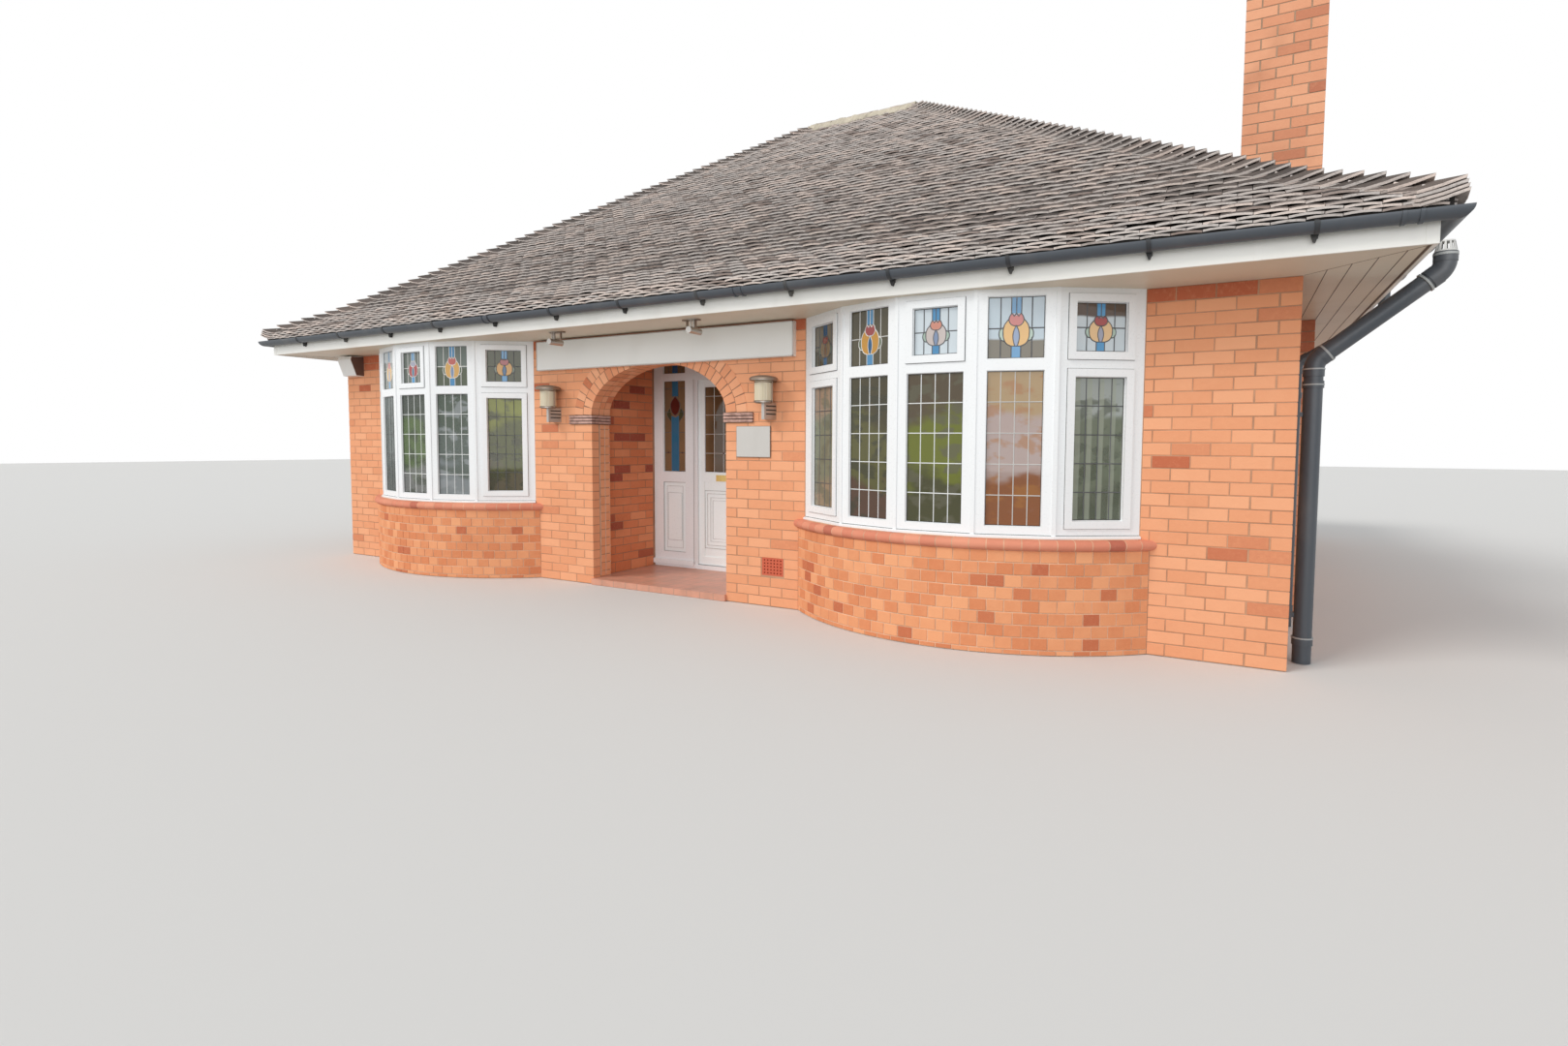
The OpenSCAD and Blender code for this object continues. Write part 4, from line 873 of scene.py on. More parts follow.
# %% Hip saddles
def saddle_unit(slope, wing=0.175, length=0.175, thick=0.016, crest=0.046, lean=radians(9.5)):
    """A hip tile at the right front corner: wings along -X and +Y, its tail at the origin."""
    one, two = vec(0, -sin(slope), cos(slope)), vec(sin(slope), 0, cos(slope))
    both = (one + two) / (1 + one.dot(two))
    left, back = vec(-wing, 0, 0), vec(0, wing, 0)
    rings = []
    for up in (0.0, length):
        at = vec(-up * cos(slope), up * cos(slope), up * sin(slope))
        base, rise = 0.030 - up * tan(lean), crest * (1 - 0.5 * up / length)
        ring = []
        for high in (thick, 0.0):
            level = base + high
            line = [at + left + one * level, at + left * 0.45 + one * (level + rise * 0.45),
                    at + both * (level + rise), at + back * 0.45 + two * (level + rise * 0.45),
                    at + back + two * level]
            ring += line if high else line[::-1]
        rings.append(ring)
    return Shape().rings(rings).mesh("hip_saddle")


for label, slope, picked in (("kick", KICK, rows[:9]), ("main", PITCH, rows[9:-1])):
    spots = []
    for run, hang in picked:
        for turn, x, y in ((0, 1, -1), (90, 1, 1), (180, -1, 1), (270, -1, -1)):
            place = (x * (EAVES_X - run), y * (EAVES_Y - run), roof_at(run + 1e-6)[0] - hang)
            spots.append((place, (0, 0, radians(turn)), (1, 1, 1), chance.uniform(0, 0.8)))
    made = laid("hip_saddles_" + label, saddle_unit(slope), spots, TILE, wobble=0.016)
    if label == "main":
        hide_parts("hip_tiles")

# %% Ridge tiles
start, end = span("ridge_tiles", 0)
bow = [(0.122 * cos(t), 0.105 * sin(t)) for t in angles(10)]
bow += [(0.107 * cos(t), 0.09 * sin(t)) for t in angles(10)[::-1]]
half_round = Shape().rings([[(x, y, z) for y, z in bow] for x in (-0.5, 0.5)]).mesh("ridge_tile")
count = 5
step = (end - start) / count
spots = [((start + step * (i + 0.5), 0, RIDGE_Z - 0.055), (0, 0, 0), (step - 0.012, 1, 1), fired())
         for i in range(count)]
laid("ridge_rounds", half_round, spots, RIDGE, wobble=0.006, smooth=True)
# The mortar beside them is trowelled by hand, so its reach and its top change along the ridge
rings = []
for i in range(41):
    x = start - 0.05 + (end - start + 0.1) * i / 40
    reach, top = 0.185 + chance.uniform(-0.045, 0.045), RIDGE_Z + chance.uniform(0.01, 0.055)
    low = RIDGE_Z - reach * tan(PITCH) + 0.045
    rings.append([(x, -reach, low - 0.05), (x, -reach, low), (x, -0.10, top - 0.02), (x, 0, top),
                  (x, 0.10, top - 0.02), (x, reach, low), (x, reach, low - 0.05)])
Shape().rings(rings).piece("ridge_bed", RIDGE, "ridge_mortar")
dress(RIDGE, "ridge_tiles")
dress(UNDERLAY, "roof", "hip_tiles")

# %% [markdown]
# ## Plastic, metal and glass finishes
#
# Window frames and eaves are glossy white plastic, a little yellow and dusty in the corners.
# The gutter is weathered grey plastic. Glass over a dim room reads dark and olive, so it is a
# part clear, very smooth sheet whose tone is a painted reflection of houses, a hedge and a pale sky.

# %% Plain finishes
def plastic(name, colour, rough=0.28, grime=(0.60, 0.57, 0.50), amount=0.25, **fixed):
    made = Finish(name, **fixed)
    body = made.mix(made.noise(3, 5, (1, 1, 0.35)).ramp(0.5, 0.85) * amount, colour, grime)
    fine = made.noise(60, 3)
    return made.show(body, rough + 0.14 * fine, fine, 0.0002)


FRAME = plastic("white_frame", (0.88, 0.90, 0.91), 0.22, amount=0.12)
# The door is a brighter, cooler white than the frames: painted light against the porch's shade and the bricks'
# warm bounce.
DOOR_PAINTED_LIGHT = plastic("white_door_painted_light", (0.92, 0.98, 0.98), 0.22, amount=0.06)
SHADE = plastic("panel_shadow", (0.34, 0.33, 0.32), 0.5)
EAVES = plastic("white_eaves", (0.90, 0.89, 0.84), 0.3, amount=0.3)
# The soffit's white plastic is given a beige-brown: painted shade under the eaves and painted warm bounce
# light.
SOFFIT_PAINTED_SHADE = plastic("soffit_board_painted_shade", (0.72, 0.645, 0.52), 0.4, (0.60, 0.52, 0.38), 0.5)
SLATE = plastic("grey_rainwater", (0.072, 0.084, 0.10), 0.33, (0.19, 0.185, 0.18), 0.6)
CLIP = plastic("dark_clip", (0.03, 0.034, 0.04), 0.4)
SEAL = plastic("pale_seal", (0.40, 0.42, 0.42), 0.4)
CAGE = plastic("pale_cage", (0.66, 0.66, 0.64), 0.4)
GASKET = plastic("black_gasket", (0.02, 0.02, 0.02), 0.5)
SIGN = plastic("sign_panel", (0.84, 0.84, 0.81), 0.3, (0.70, 0.69, 0.65), 0.3)
CONCRETE = mortar_finish("floor_concrete", (0.30, 0.29, 0.27))
PLASTER = mortar_finish("painted_plaster", (0.72, 0.71, 0.68))
STEEL = plastic("satin_metal", (0.52, 0.50, 0.47), 0.30, (0.30, 0.26, 0.22), 0.5, Metallic=1.0)
BRONZE = plastic("bronze_cap", (0.28, 0.21, 0.16), 0.38, (0.16, 0.13, 0.11), 0.5, Metallic=0.7)
BRASS = plastic("brass", (0.80, 0.58, 0.22), 0.22, (0.45, 0.30, 0.12), 0.4, Metallic=1.0)
# One lead in three copies: the bright one is a painted highlight, the dark one a painted shade
LEAD_PAINTED_HIGHLIGHT = plastic("lead_painted_highlight", (0.80, 0.82, 0.82), 0.35, (0.62, 0.63, 0.62), 0.4)
LEAD = plastic("silver_lead", (0.60, 0.60, 0.58), 0.35, (0.35, 0.35, 0.34), 0.5, Metallic=0.3)
LEAD_PAINTED_SHADE = plastic("lead_painted_shade", (0.10, 0.105, 0.11), 0.4, (0.22, 0.22, 0.22), 0.5, Metallic=0.3)
PLAQUE = plastic("plaque_metal", (0.60, 0.58, 0.55), 0.36, (0.48, 0.45, 0.42), 0.5, Metallic=0.6)
BOX = plastic("alarm_shell", (0.84, 0.84, 0.82), 0.25)
DARK_BOX = plastic("alarm_side", (0.12, 0.07, 0.055), 0.4)
RIBBED = plastic("ribbed_glass", (0.66, 0.58, 0.42), 0.15, (0.84, 0.80, 0.70), 0.5)
print("finishes so far:", len(bpy.data.materials))

# %% Clay finishes
# The imposts are three layers of tile with dark joints, the porch floor is square tiles
IMPOST_TILE = Finish("impost_tile", Specular_IOR_Level=0.3)
layer = (IMPOST_TILE.part("Z") - IMPOST) * (tau * 3 / (SPRING - IMPOST))
bands = layer.math("COSINE").ramp(0.55, 0.95)
body = IMPOST_TILE.mix(IMPOST_TILE.noise(24, 4).ramp(0.35, 0.7), (0.60, 0.38, 0.32), (0.36, 0.21, 0.17))
IMPOST_TILE.show(IMPOST_TILE.mix(bands, body, (0.09, 0.06, 0.05)), 0.85, IMPOST_TILE.noise(80) - bands, 0.003)
SQUARE = 0.152
FLOOR = Finish("porch_tile", Specular_IOR_Level=0.35)
lines = [((FLOOR.part(axis) * (1 / SQUARE)).math("FRACT") - 0.5).math("ABSOLUTE").ramp(0.478, 0.49)
         for axis in "XY"]
lines = lines[0].math("MAXIMUM", lines[1])
body = FLOOR.mix(FLOOR.noise(6, 5).ramp(0.3, 0.7), (0.74, 0.36, 0.25), (0.60, 0.31, 0.22))
FLOOR.show(FLOOR.mix(lines, body, (0.42, 0.28, 0.22)), 0.35, FLOOR.noise(90) * 0.3 - lines, 0.002)
POT = Finish("clay_pot", Specular_IOR_Level=0.3)
body = POT.mix(POT.noise(11, 4).ramp(0.35, 0.7), (0.52, 0.30, 0.19), (0.30, 0.17, 0.12))
POT.show(body, 0.85, POT.noise(70), 0.002)
AIR_CLAY = brick_finish("air_brick", (0.62, 0.14, 0.08), (0.55, 0.11, 0.065), (0.35, 0.08, 0.05), 0.2)
print("finishes so far:", len(bpy.data.materials))


# %% Glass finishes
def glass_finish(name, deep, pale, alpha):
    # A deep and a pale tone blend by noise: a painted reflection
    made = Finish(name, Roughness=0.03, Specular_IOR_Level=0.7, Alpha=alpha)
    return made.show(made.mix(made.noise(1.3, 3, (1, 1, 0.6)).ramp(0.35, 0.65), deep, pale))


def bay_glass(name, lower, upper, clear, hung=()):
    """Glass of a bay, its tones painted reflections. Its five sides are told apart by the way they
    face. Lower lights blend from foot to head with patches in them, upper ones have a lower and a
    higher tone. Sides named in hung show pale upright slats."""
    made = Finish(name, Roughness=0.03, Specular_IOR_Level=0.5)
    z, across = made.part("Z"), made.facing("X")
    height = z + (made.noise(1.9, 4, (1, 1, 1.8)) - 0.5) * 0.8
    patch = made.noise(5.5, 3, (1, 1, 1.6)).ramp(0.50, 0.60) * 0.75
    above = z.ramp(1.99, 2.01)
    edge_z = z + (made.noise(3, 2) - 0.5) * 0.08
    colour = alpha = None
    for i, edge in enumerate((-1, -0.41, -0.14, 0.14, 0.41)):
        foot, middle, head, spot = lower[i]
        tone = made.mix(height.ramp(1.55, 1.70), made.mix(height.ramp(1.10, 1.22), foot, middle), head)
        tone = made.mix(patch, tone, spot)
        if i in hung:
            slats = (made.part("X") * 91 + made.noise(1.5) * 2).math("SINE").ramp(-0.1, 0.5) * 0.6
            tone = made.mix(slats, tone, (0.46, 0.50, 0.40))
        low, high, split = upper[i]
        tone = made.mix(above, tone, made.mix(edge_z.ramp(split - 0.01, split + 0.01), low, high))
        side = across.ramp(edge - 0.03, edge + 0.03)
        colour = tone if i == 0 else made.mix(side, colour, tone)
        alpha = clear[i] if i == 0 else side * clear[i] + (1 - side) * alpha
    return made.show(colour, Alpha=above + (1 - above) * alpha)


# All these tones are painted reflections of sky, hedge and houses over a dim room
OLIVE, PAINTED_SKY, GREY = (0.085, 0.075, 0.045), (0.60, 0.67, 0.71), (0.13, 0.15, 0.13)
MOSS = (0.07, 0.075, 0.03)
FAR_SIDE = ((0.12, 0.15, 0.13), (0.17, 0.21, 0.19), (0.24, 0.28, 0.27), (0.08, 0.10, 0.08))
RIGHT_GLASS = bay_glass("right_bay_glass", (
    ((0.36, 0.28, 0.19), (0.25, 0.26, 0.18), (0.38, 0.27, 0.19), (0.20, 0.20, 0.14)),
    ((0.10, 0.055, 0.035), (0.11, 0.105, 0.035), (0.07, 0.06, 0.03), (0.05, 0.05, 0.03)),
    ((0.07, 0.07, 0.03), (0.15, 0.17, 0.025), (0.10, 0.075, 0.045), (0.12, 0.115, 0.075)),
    ((0.26, 0.095, 0.035), (0.40, 0.30, 0.27), (0.38, 0.25, 0.11), (0.36, 0.15, 0.04)),
    ((0.15, 0.17, 0.12), (0.20, 0.23, 0.16), (0.46, 0.50, 0.47), (0.11, 0.13, 0.085))), (
    (OLIVE, (0.20, 0.17, 0.125), 2.2), (OLIVE, OLIVE, 2.2), (PAINTED_SKY, PAINTED_SKY, 2.2),
    ((0.17, 0.15, 0.11), (0.47, 0.56, 0.62), 2.13), (PAINTED_SKY, (0.12, 0.085, 0.065), 2.285)),
    (0.85, 0.92, 0.92, 0.92, 0.70), hung=(4,))
LEFT_GLASS = bay_glass("left_bay_glass", (
    FAR_SIDE, FAR_SIDE,
    ((0.24, 0.25, 0.24), (0.13, 0.20, 0.07), (0.10, 0.12, 0.10), (0.06, 0.08, 0.05)),
    ((0.26, 0.29, 0.30), (0.14, 0.17, 0.15), (0.11, 0.14, 0.11), (0.36, 0.39, 0.40)),
    ((0.12, 0.10, 0.06), (0.10, 0.11, 0.03), (0.24, 0.26, 0.04), (0.06, 0.06, 0.03))), (
    (OLIVE, OLIVE, 2.2), ((0.16, 0.18, 0.16), PAINTED_SKY, 2.3), (GREY, GREY, 2.2),
    ((0.10, 0.12, 0.08), (0.15, 0.18, 0.16), 2.2), (MOSS, MOSS, 2.2)),
    (0.6, 0.6, 0.6, 0.7, 0.85))
PORCH_GLASS = glass_finish("porch_glass", (0.11, 0.065, 0.03), (0.24, 0.15, 0.08), 0.92)
DIM_GLASS = glass_finish("rear_glass", (0.05, 0.06, 0.06), (0.10, 0.11, 0.11), 0.7)
TINTS = {
    "blue": (0.08, 0.30, 0.56), "red": (0.60, 0.16, 0.14), "amber": (0.76, 0.44, 0.13),
    "flame": (0.25, 0.33, 0.50), "leaf": (0.42, 0.55, 0.46), "dark_blue": (0.01, 0.10, 0.24),
    "dark_red": (0.09, 0.012, 0.01), "teal": (0.025, 0.15, 0.27), "bottle": (0.05, 0.065, 0.03),
    "umber": (0.22, 0.10, 0.03), "whitish": (0.66, 0.58, 0.55), "salmon": (0.70, 0.30, 0.22),
    "peach": (0.78, 0.52, 0.27), "wine": (0.38, 0.06, 0.06), "lilac": (0.36, 0.37, 0.46),
    "ochre": (0.62, 0.30, 0.03), "dim_ochre": (0.26, 0.17, 0.08), "dim_red": (0.28, 0.07, 0.05),
    "moss": (0.14, 0.18, 0.11)}
TINTS = {name: glass_finish(name + "_glass", tuple(0.8 * v for v in colour), colour, 1.0)
         for name, colour in TINTS.items()}
print("glass tints:", len(TINTS))

# %% Dressing the solids
for finish, names in (
        (WALL_MORTAR, "left_side_wall right_side_wall rear_wall front_wall_left_end front_wall_left_pier "
                      "front_wall_right_pier front_wall_right_end wall_over_arch front_wall_head"),
        (STACK_MORTAR, "chimney_stack"), (ARCH_MORTAR, "arch_ring"), (IMPOST_TILE, "arch_imposts"),
        (BASE_MORTAR, "left_bay_base right_bay_base left_bay_sill right_bay_sill"),
        (PORCH_MORTAR, "porch_left_wall porch_right_wall"), (FLOOR, "porch_floor"), (CONCRETE, "floor_slab"),
        (PLASTER, "ceiling"), (DOOR_PAINTED_LIGHT, "front_door entrance_panels door_hinges"), (EAVES, "fascia"),
        (FRAME, "entrance_frame left_bay_frame right_bay_frame casement_frames porch_ceiling"),
        (SOFFIT_PAINTED_SHADE, "soffit"), (SLATE, "gutter vent_pipe downpipe"), (CLIP, "gutter_brackets"),
        (SIGN, "sign_board"), (STEEL, "wall_lanterns sign_spotlights"), (BRASS, "letter_plate door_handles"),
        (PLAQUE, "plaque"), (BOX, "alarm_box"), (LEFT_GLASS, "left_bay_glass"), (CAGE, "vent_cage"),
        (RIGHT_GLASS, "right_bay_glass"), (PORCH_GLASS, "entrance_glass door_glass"),
        (DIM_GLASS, "casement_glass"), (POT, "chimney_pot"), (AIR_CLAY, "air_bricks casement_sills")):
    dress(finish, *names.split())
print("finishes:", len(bpy.data.materials))

# %% [markdown]
# ## Leaded glass
#
# Lead strips hold small pieces of glass together. On these windows they form a plain grid on
# the lower panes and a tulip on the upper ones, a common ornament of its time. Every pane's
# place comes from the glass solids: each loose block there is one pane.

# %% Panes
def panes(node, middle):
    """The glass blocks of a node as frames: foot centre of the outside face, along, out, size."""
    work = bmesh.new()
    work.from_mesh(nodes[node].data)
    bmesh.ops.remove_doubles(work, verts=work.verts[:], dist=1e-5)
    left, found = set(work.verts), []
    while left:
        patch, queue = set(), [left.pop()]
        while queue:
            vert = queue.pop()
            patch.add(vert)
            for edge in vert.link_edges:
                other = edge.other_vert(vert)
                if other in left:
                    left.discard(other)
                    queue.append(other)
        z0, z1 = min(v.co.z for v in patch), max(v.co.z for v in patch)
        plan = [v.co.xy for v in patch if v.co.z < z0 + 1e-4]
        a, b, c = plan[0], *sorted(plan[1:], key=lambda q: (q - plan[0]).length)[:2]
        along = Vector((c - a).to_3d()).normalized()
        out = vec(along.y, -along.x, 0)
        heart = sum((vec(*q, 0) for q in plan), Vector()) / 4
        if out.dot(heart - vec(*middle, 0)) < 0:
            along, out = -along, -out
        place = heart + out * (b - a).length / 2
        found.append({"foot": vec(place.x, place.y, z0), "along": along, "out": out,
                      "wide": (c - a).length, "high": z1 - z0, "turn": atan2(along.y, along.x)})
    work.free()
    return sorted(found, key=lambda q: (q["foot"].z > 1.9, round(q["turn"], 3), q["foot"].x, q["foot"].z))


def on_pane(pane, u, v, out=0.0):
    """A point on a pane: u from 0 on the left to 1, v from 0 at the foot to 1."""
    place = pane["foot"] + pane["along"] * (u - 0.5) * pane["wide"]
    return place + vec(0, 0, v * pane["high"]) + pane["out"] * out


bow = [(cos(t) / 2, -sin(t)) for t in angles(4)]
CAME = Shape().rings([[(x, y, z) for x, y in bow] for z in (-0.5, 0.5)]).mesh("lead_strip")


def strip(pane, a, b, width=0.007, proud=0.0035, out=0.0):
    """A lead strip from a to b, both (u, v) on a pane, and out in front of it."""
    p, q = on_pane(pane, *a, out), on_pane(pane, *b, out)
    rise, side = (q - p).dot(vec(0, 0, 1)), (q - p).dot(pane["along"])
    turn = Matrix.Rotation(pane["turn"], 3, "Z") @ Matrix.Rotation(atan2(side, rise), 3, "Y")
    return (p + q) / 2, tuple(turn.to_euler()), (width, proud, (q - p).length + width * 0.4), 0.5


def line_strips(pane, lines, **kind):
    return [strip(pane, a, b, **kind) for line in lines for a, b in zip(line, line[1:])]


def grid(pane, across, up, **kind):
    return line_strips(pane, [[(u, 0), (u, 1)] for u in across] + [[(0, v), (1, v)] for v in up], **kind)


print("panes of a bay:", len(panes("left_bay_glass", (BAYS[0], BAY_Y))))


# %% The tulip
def mirrored(line):
    return [(1 - u, v) for u, v in line]


def curve(points, steps=4):
    """A smooth line through the points."""
    line = [points[0], *points, points[-1]]
    found = []
    for four in zip(line, line[1:], line[2:], line[3:]):
        for t in (i / steps for i in range(steps)):
            found.append(tuple(0.5 * (2 * b + (c - a) * t + (2 * a - 5 * b + 4 * c - d) * t * t
                                      + (3 * b - a - 3 * c + d) * t ** 3) for a, b, c, d in zip(*four)))
    return found + [points[-1]]


PETAL_OUT = curve([(0.375, 0.64), (0.30, 0.55), (0.272, 0.44), (0.285, 0.33), (0.335, 0.245), (0.425, 0.203)])
PETAL_IN = curve([(0.475, 0.21), (0.445, 0.33), (0.455, 0.44), (0.497, 0.535)])
FLAME = curve([(0.475, 0.21), (0.445, 0.33), (0.455, 0.44), (0.5, 0.535)])
BUD = curve([(0.42, 0.73), (0.385, 0.68), (0.37, 0.62), (0.40, 0.56), (0.45, 0.53), (0.5, 0.525)])
LEAF = curve([(0.27, 0.50), (0.215, 0.46), (0.205, 0.38), (0.235, 0.31), (0.29, 0.29)])
TULIP = [
    ("amber", PETAL_OUT + PETAL_IN + [(0.45, 0.535), (0.40, 0.565)]),
    ("red", BUD + mirrored(BUD)[::-1] + [(0.5, 0.69)]),
    ("blue", [(0.415, 0.73), (0.415, 1.0), (0.585, 1.0), (0.585, 0.73)]),
    ("blue", [(0.42, 0.0), (0.42, 0.205), (0.58, 0.205), (0.58, 0.0)]),
    ("flame", FLAME + mirrored(FLAME)[::-1]), ("leaf", LEAF + [(0.277, 0.38)])]
TULIP += [(tone, mirrored(line)) for tone, line in TULIP if tone in ("amber", "leaf")]
TULIP_LEADS = [PETAL_OUT, BUD, LEAF, FLAME, [(0.415, 0.73), (0.415, 1.0)], [(0.42, 0.0), (0.42, 0.205)],
               [(0.42, 0.205), (0.5, 0.205)], [(0.0, 0.49), (0.27, 0.49)], [(0.23, 0.0), (0.23, 0.34)],
               [(0.23, 0.49), (0.23, 1.0)], [(0.42, 0.73), (0.46, 0.68), (0.5, 0.73)],
               [(0.277, 0.38), (0.27, 0.5)]]
TULIP_LEADS = TULIP_LEADS + [mirrored(line) for line in TULIP_LEADS] + [[(0.5, 0.73), (0.5, 1.0)]]


def glazed(shape, pane, tones, pictures, thick=0.0018):
    """Adds flat pieces of coloured glass to a shape, each on the face of its pane."""
    for tone, outline in pictures:
        front = [on_pane(pane, u, v, thick) for u, v in outline]
        shape.prism(front, -pane["out"] * thick * 0.9, tones.index(tone))


print("pieces of glass and leads in a tulip:", len(TULIP), len(TULIP_LEADS))

# %% Bay lights
# What each upper light changes in the tulip's colours, as a painted reflection of what it mirrors, and its
# leads
PAINTED_DARK_REFLECTION = {"amber": "ochre", "red": "wine", "flame": "dark_blue", "leaf": "moss"}
SWAPS = {
    "left": ({}, {}, {"amber": "wine", "red": "lilac", "flame": "teal", "leaf": "moss"}, {"leaf": "moss"},
             PAINTED_DARK_REFLECTION),
    "right": ({"amber": "dim_ochre", "red": "dim_red", "blue": "dark_blue", "leaf": "moss", "flame": "umber"},
              PAINTED_DARK_REFLECTION, {"amber": "whitish", "red": "salmon"}, {},
              {"amber": "peach", "red": "wine", "flame": "lilac"})}
# Leads of the five lower and then the five upper lights, as copies of one lead: silver is a painted highlight,
# dark a painted shade
LEADS = {"left": ("dark dark silver silver dark", "grey grey grey grey dark"),
         "right": ("dark silver silver grey dark", "dark grey dark dark dark")}
METALS = {"silver": LEAD_PAINTED_HIGHLIGHT, "grey": LEAD, "dark": LEAD_PAINTED_SHADE}
tones = sorted({tone for tone, line in TULIP} | {new for swaps in SWAPS.values() for swap in swaps
                                                 for new in swap.values()})
for side, x in zip(SIDES, BAYS):
    coloured, leads = Shape(), {metal: [] for metal in METALS}
    metals = " ".join(LEADS[side]).split()
    for number, (pane, metal) in enumerate(zip(panes(side + "_bay_glass", (x, BAY_Y)), metals)):
        if number < 5:
            leads[metal] += grid(pane, (0.25, 0.5, 0.75), (0.2, 0.4, 0.6, 0.8))
        else:
            swap = SWAPS[side][number - 5]
            glazed(coloured, pane, tones, [(swap.get(tone, tone), outline) for tone, outline in TULIP])
            leads[metal] += line_strips(pane, TULIP_LEADS, width=0.008)
    coloured.piece(side + "_bay_tulips", [TINTS[tone] for tone in tones], "glass")
    for metal, finish in METALS.items():
        laid(side + "_bay_leads_" + metal, CAME, leads[metal], finish)

# %% [markdown]
# ### The entrance's glass
#
# The side light has an upright blue band with a dark red bud, and the door has a plain grid
# of pale leads. Small dark diamonds mark where leads cross.

# %% Entrance glass
def spread(pane, *heights):
    """Heights above the ground as parts of a pane's height."""
    return [(z - pane["foot"].z) / pane["high"] for z in heights]


def diamond(u, v, pane, size=0.011):
    a, b = size / pane["wide"], size / pane["high"]
    return [(u - a, v), (u, v + b), (u + a, v), (u, v - b)]


tones = ["teal", "dark_blue", "dark_red", "bottle", "red"]
coloured, dark_leads = Shape(), []
for pane in panes("entrance_glass", (ARCH_X, 0)):
    if pane["high"] < 0.5:
        glazed(coloured, pane, tones, [("dark_blue", [(0.38, 0), (0.38, 1), (0.62, 1), (0.62, 0)])])
        dark_leads += grid(pane, (0.2, 0.38, 0.62, 0.8), (), width=0.006)
        continue
    # The bud is between a and b, its middle at m, and the band is w wide to each side
    a, b = spread(pane, 1.76, 1.94)
    m, w = (a + b) / 2, min(0.5, 0.052 / pane["wide"])
    bud = curve([(0.5, b), (0.5 - w * 1.25, m + 0.01), (0.5 - w * 0.9, a + 0.01), (0.5, a - 0.03)])
    leaf = curve([(0.5 - w * 1.5, a + 0.05), (0.5 - w * 2.2, a - 0.02), (0.5 - w, a - 0.10)])
    glazed(coloured, pane, tones, [
        ("teal", [(0.5 - w, 0), (0.5 - w, a - 0.03), (0.5, a - 0.05), (0.5 + w, a - 0.03), (0.5 + w, 0)]),
        ("teal", [(0.5 - w * 0.8, b), (0.5 - w * 0.8, 1), (0.5 + w * 0.8, 1), (0.5 + w * 0.8, b)]),
        ("dark_red", bud + mirrored(bud)[::-1][1:-1])]
        + [("bottle", way(leaf + [(0.5 - w, a - 0.03)])) for way in (list, mirrored)]
        + [("dark_red", diamond(u, spread(pane, 1.323)[0], pane)) for u in (0.5 - w * 1.9, 0.5 + w * 1.9)])
    half = [bud, leaf, [(0.5 - w, 0), (0.5 - w, a - 0.03)], [(0.5 - w * 0.8, b - 0.01), (0.5 - w * 0.8, 1)]]
    lines = [way(line) for line in half for way in (list, mirrored)]
    for v in spread(pane, 1.323, 1.545, 1.77, 2.027):
        lines += [[(0, v), (0.5 - w, v)], [(0.5 + w, v), (1, v)]]
    dark_leads += line_strips(pane, lines, width=0.006)
coloured.piece("entrance_colours", [TINTS[tone] for tone in tones], "glass")
laid("entrance_leads", CAME, dark_leads, LEAD_PAINTED_SHADE)
pane, = panes("door_glass", (ARCH_X, 0))
across = [i * 0.122 / pane["wide"] for i in range(1, 5)]
heights = spread(pane, 1.32, 1.525, 1.73, 1.93)
marks = Shape()
glazed(marks, pane, ["red"], [("red", diamond(u, heights[0], pane)) for u in across[1:3]], 0.004)
marks.piece("door_diamonds", TINTS["dark_red"], "glass", body="door")
laid("door_leads", CAME, grid(pane, across, heights), LEAD, body="door")

# %% [markdown]
# ### Gaskets and beads
# Every pane is held by a sloped white bead, with a thin black gasket against the glass. They
# are the fine double lines that make a plastic window look real. The black lines round the
# opening sashes are painted shadow of the gap between sash and frame.

# %% Gaskets
def surround(pane, inset, width, proud, out=0.0):
    """Four strips just inside a pane's edge, or outside it where the inset is negative."""
    u, v = inset / pane["wide"], inset / pane["high"]
    ring = [(u, v), (1 - u, v), (1 - u, 1 - v), (u, 1 - v), (u, v)]
    return line_strips(pane, [ring], width=width, proud=proud, out=out)


# Opening sashes by number, lower lights first, how far they reach past the glass and how deep it lies
OPENING, SASH, FACE_OUT = (0, 4, 5, 7, 9), 0.052, 0.0195
for name, node, middle, rides, depth in (
        ("left_bay", "left_bay_glass", (BAYS[0], BAY_Y), "building", 0.012),
        ("right_bay", "right_bay_glass", (BAYS[1], BAY_Y), "building", 0.012),
        ("entrance", "entrance_glass", (ARCH_X, 0), "building", 0.012),
        ("door", "door_glass", (ARCH_X, 0), "door", 0.009),
        ("plain", "casement_glass", (0, 0), "building", 0.012)):
    gaskets_and_sash_shadows, beads = [], []
    for number, pane in enumerate(panes(node, middle)):
        gaskets_and_sash_shadows += surround(pane, 0.007, 0.004, 0.004)
        beads += surround(pane, 0.001, 0.009, depth)
        if name.endswith("bay") and number in OPENING:
            # Black line round an opening sash: painted shadow of its gap
            gaskets_and_sash_shadows += surround(pane, -SASH - 0.0015, 0.004, 0.0025, FACE_OUT)
    laid(name + "_gaskets", CAME, gaskets_and_sash_shadows, GASKET, body=rides)
    laid(name + "_beads", CAME, beads, FRAME, body=rides)

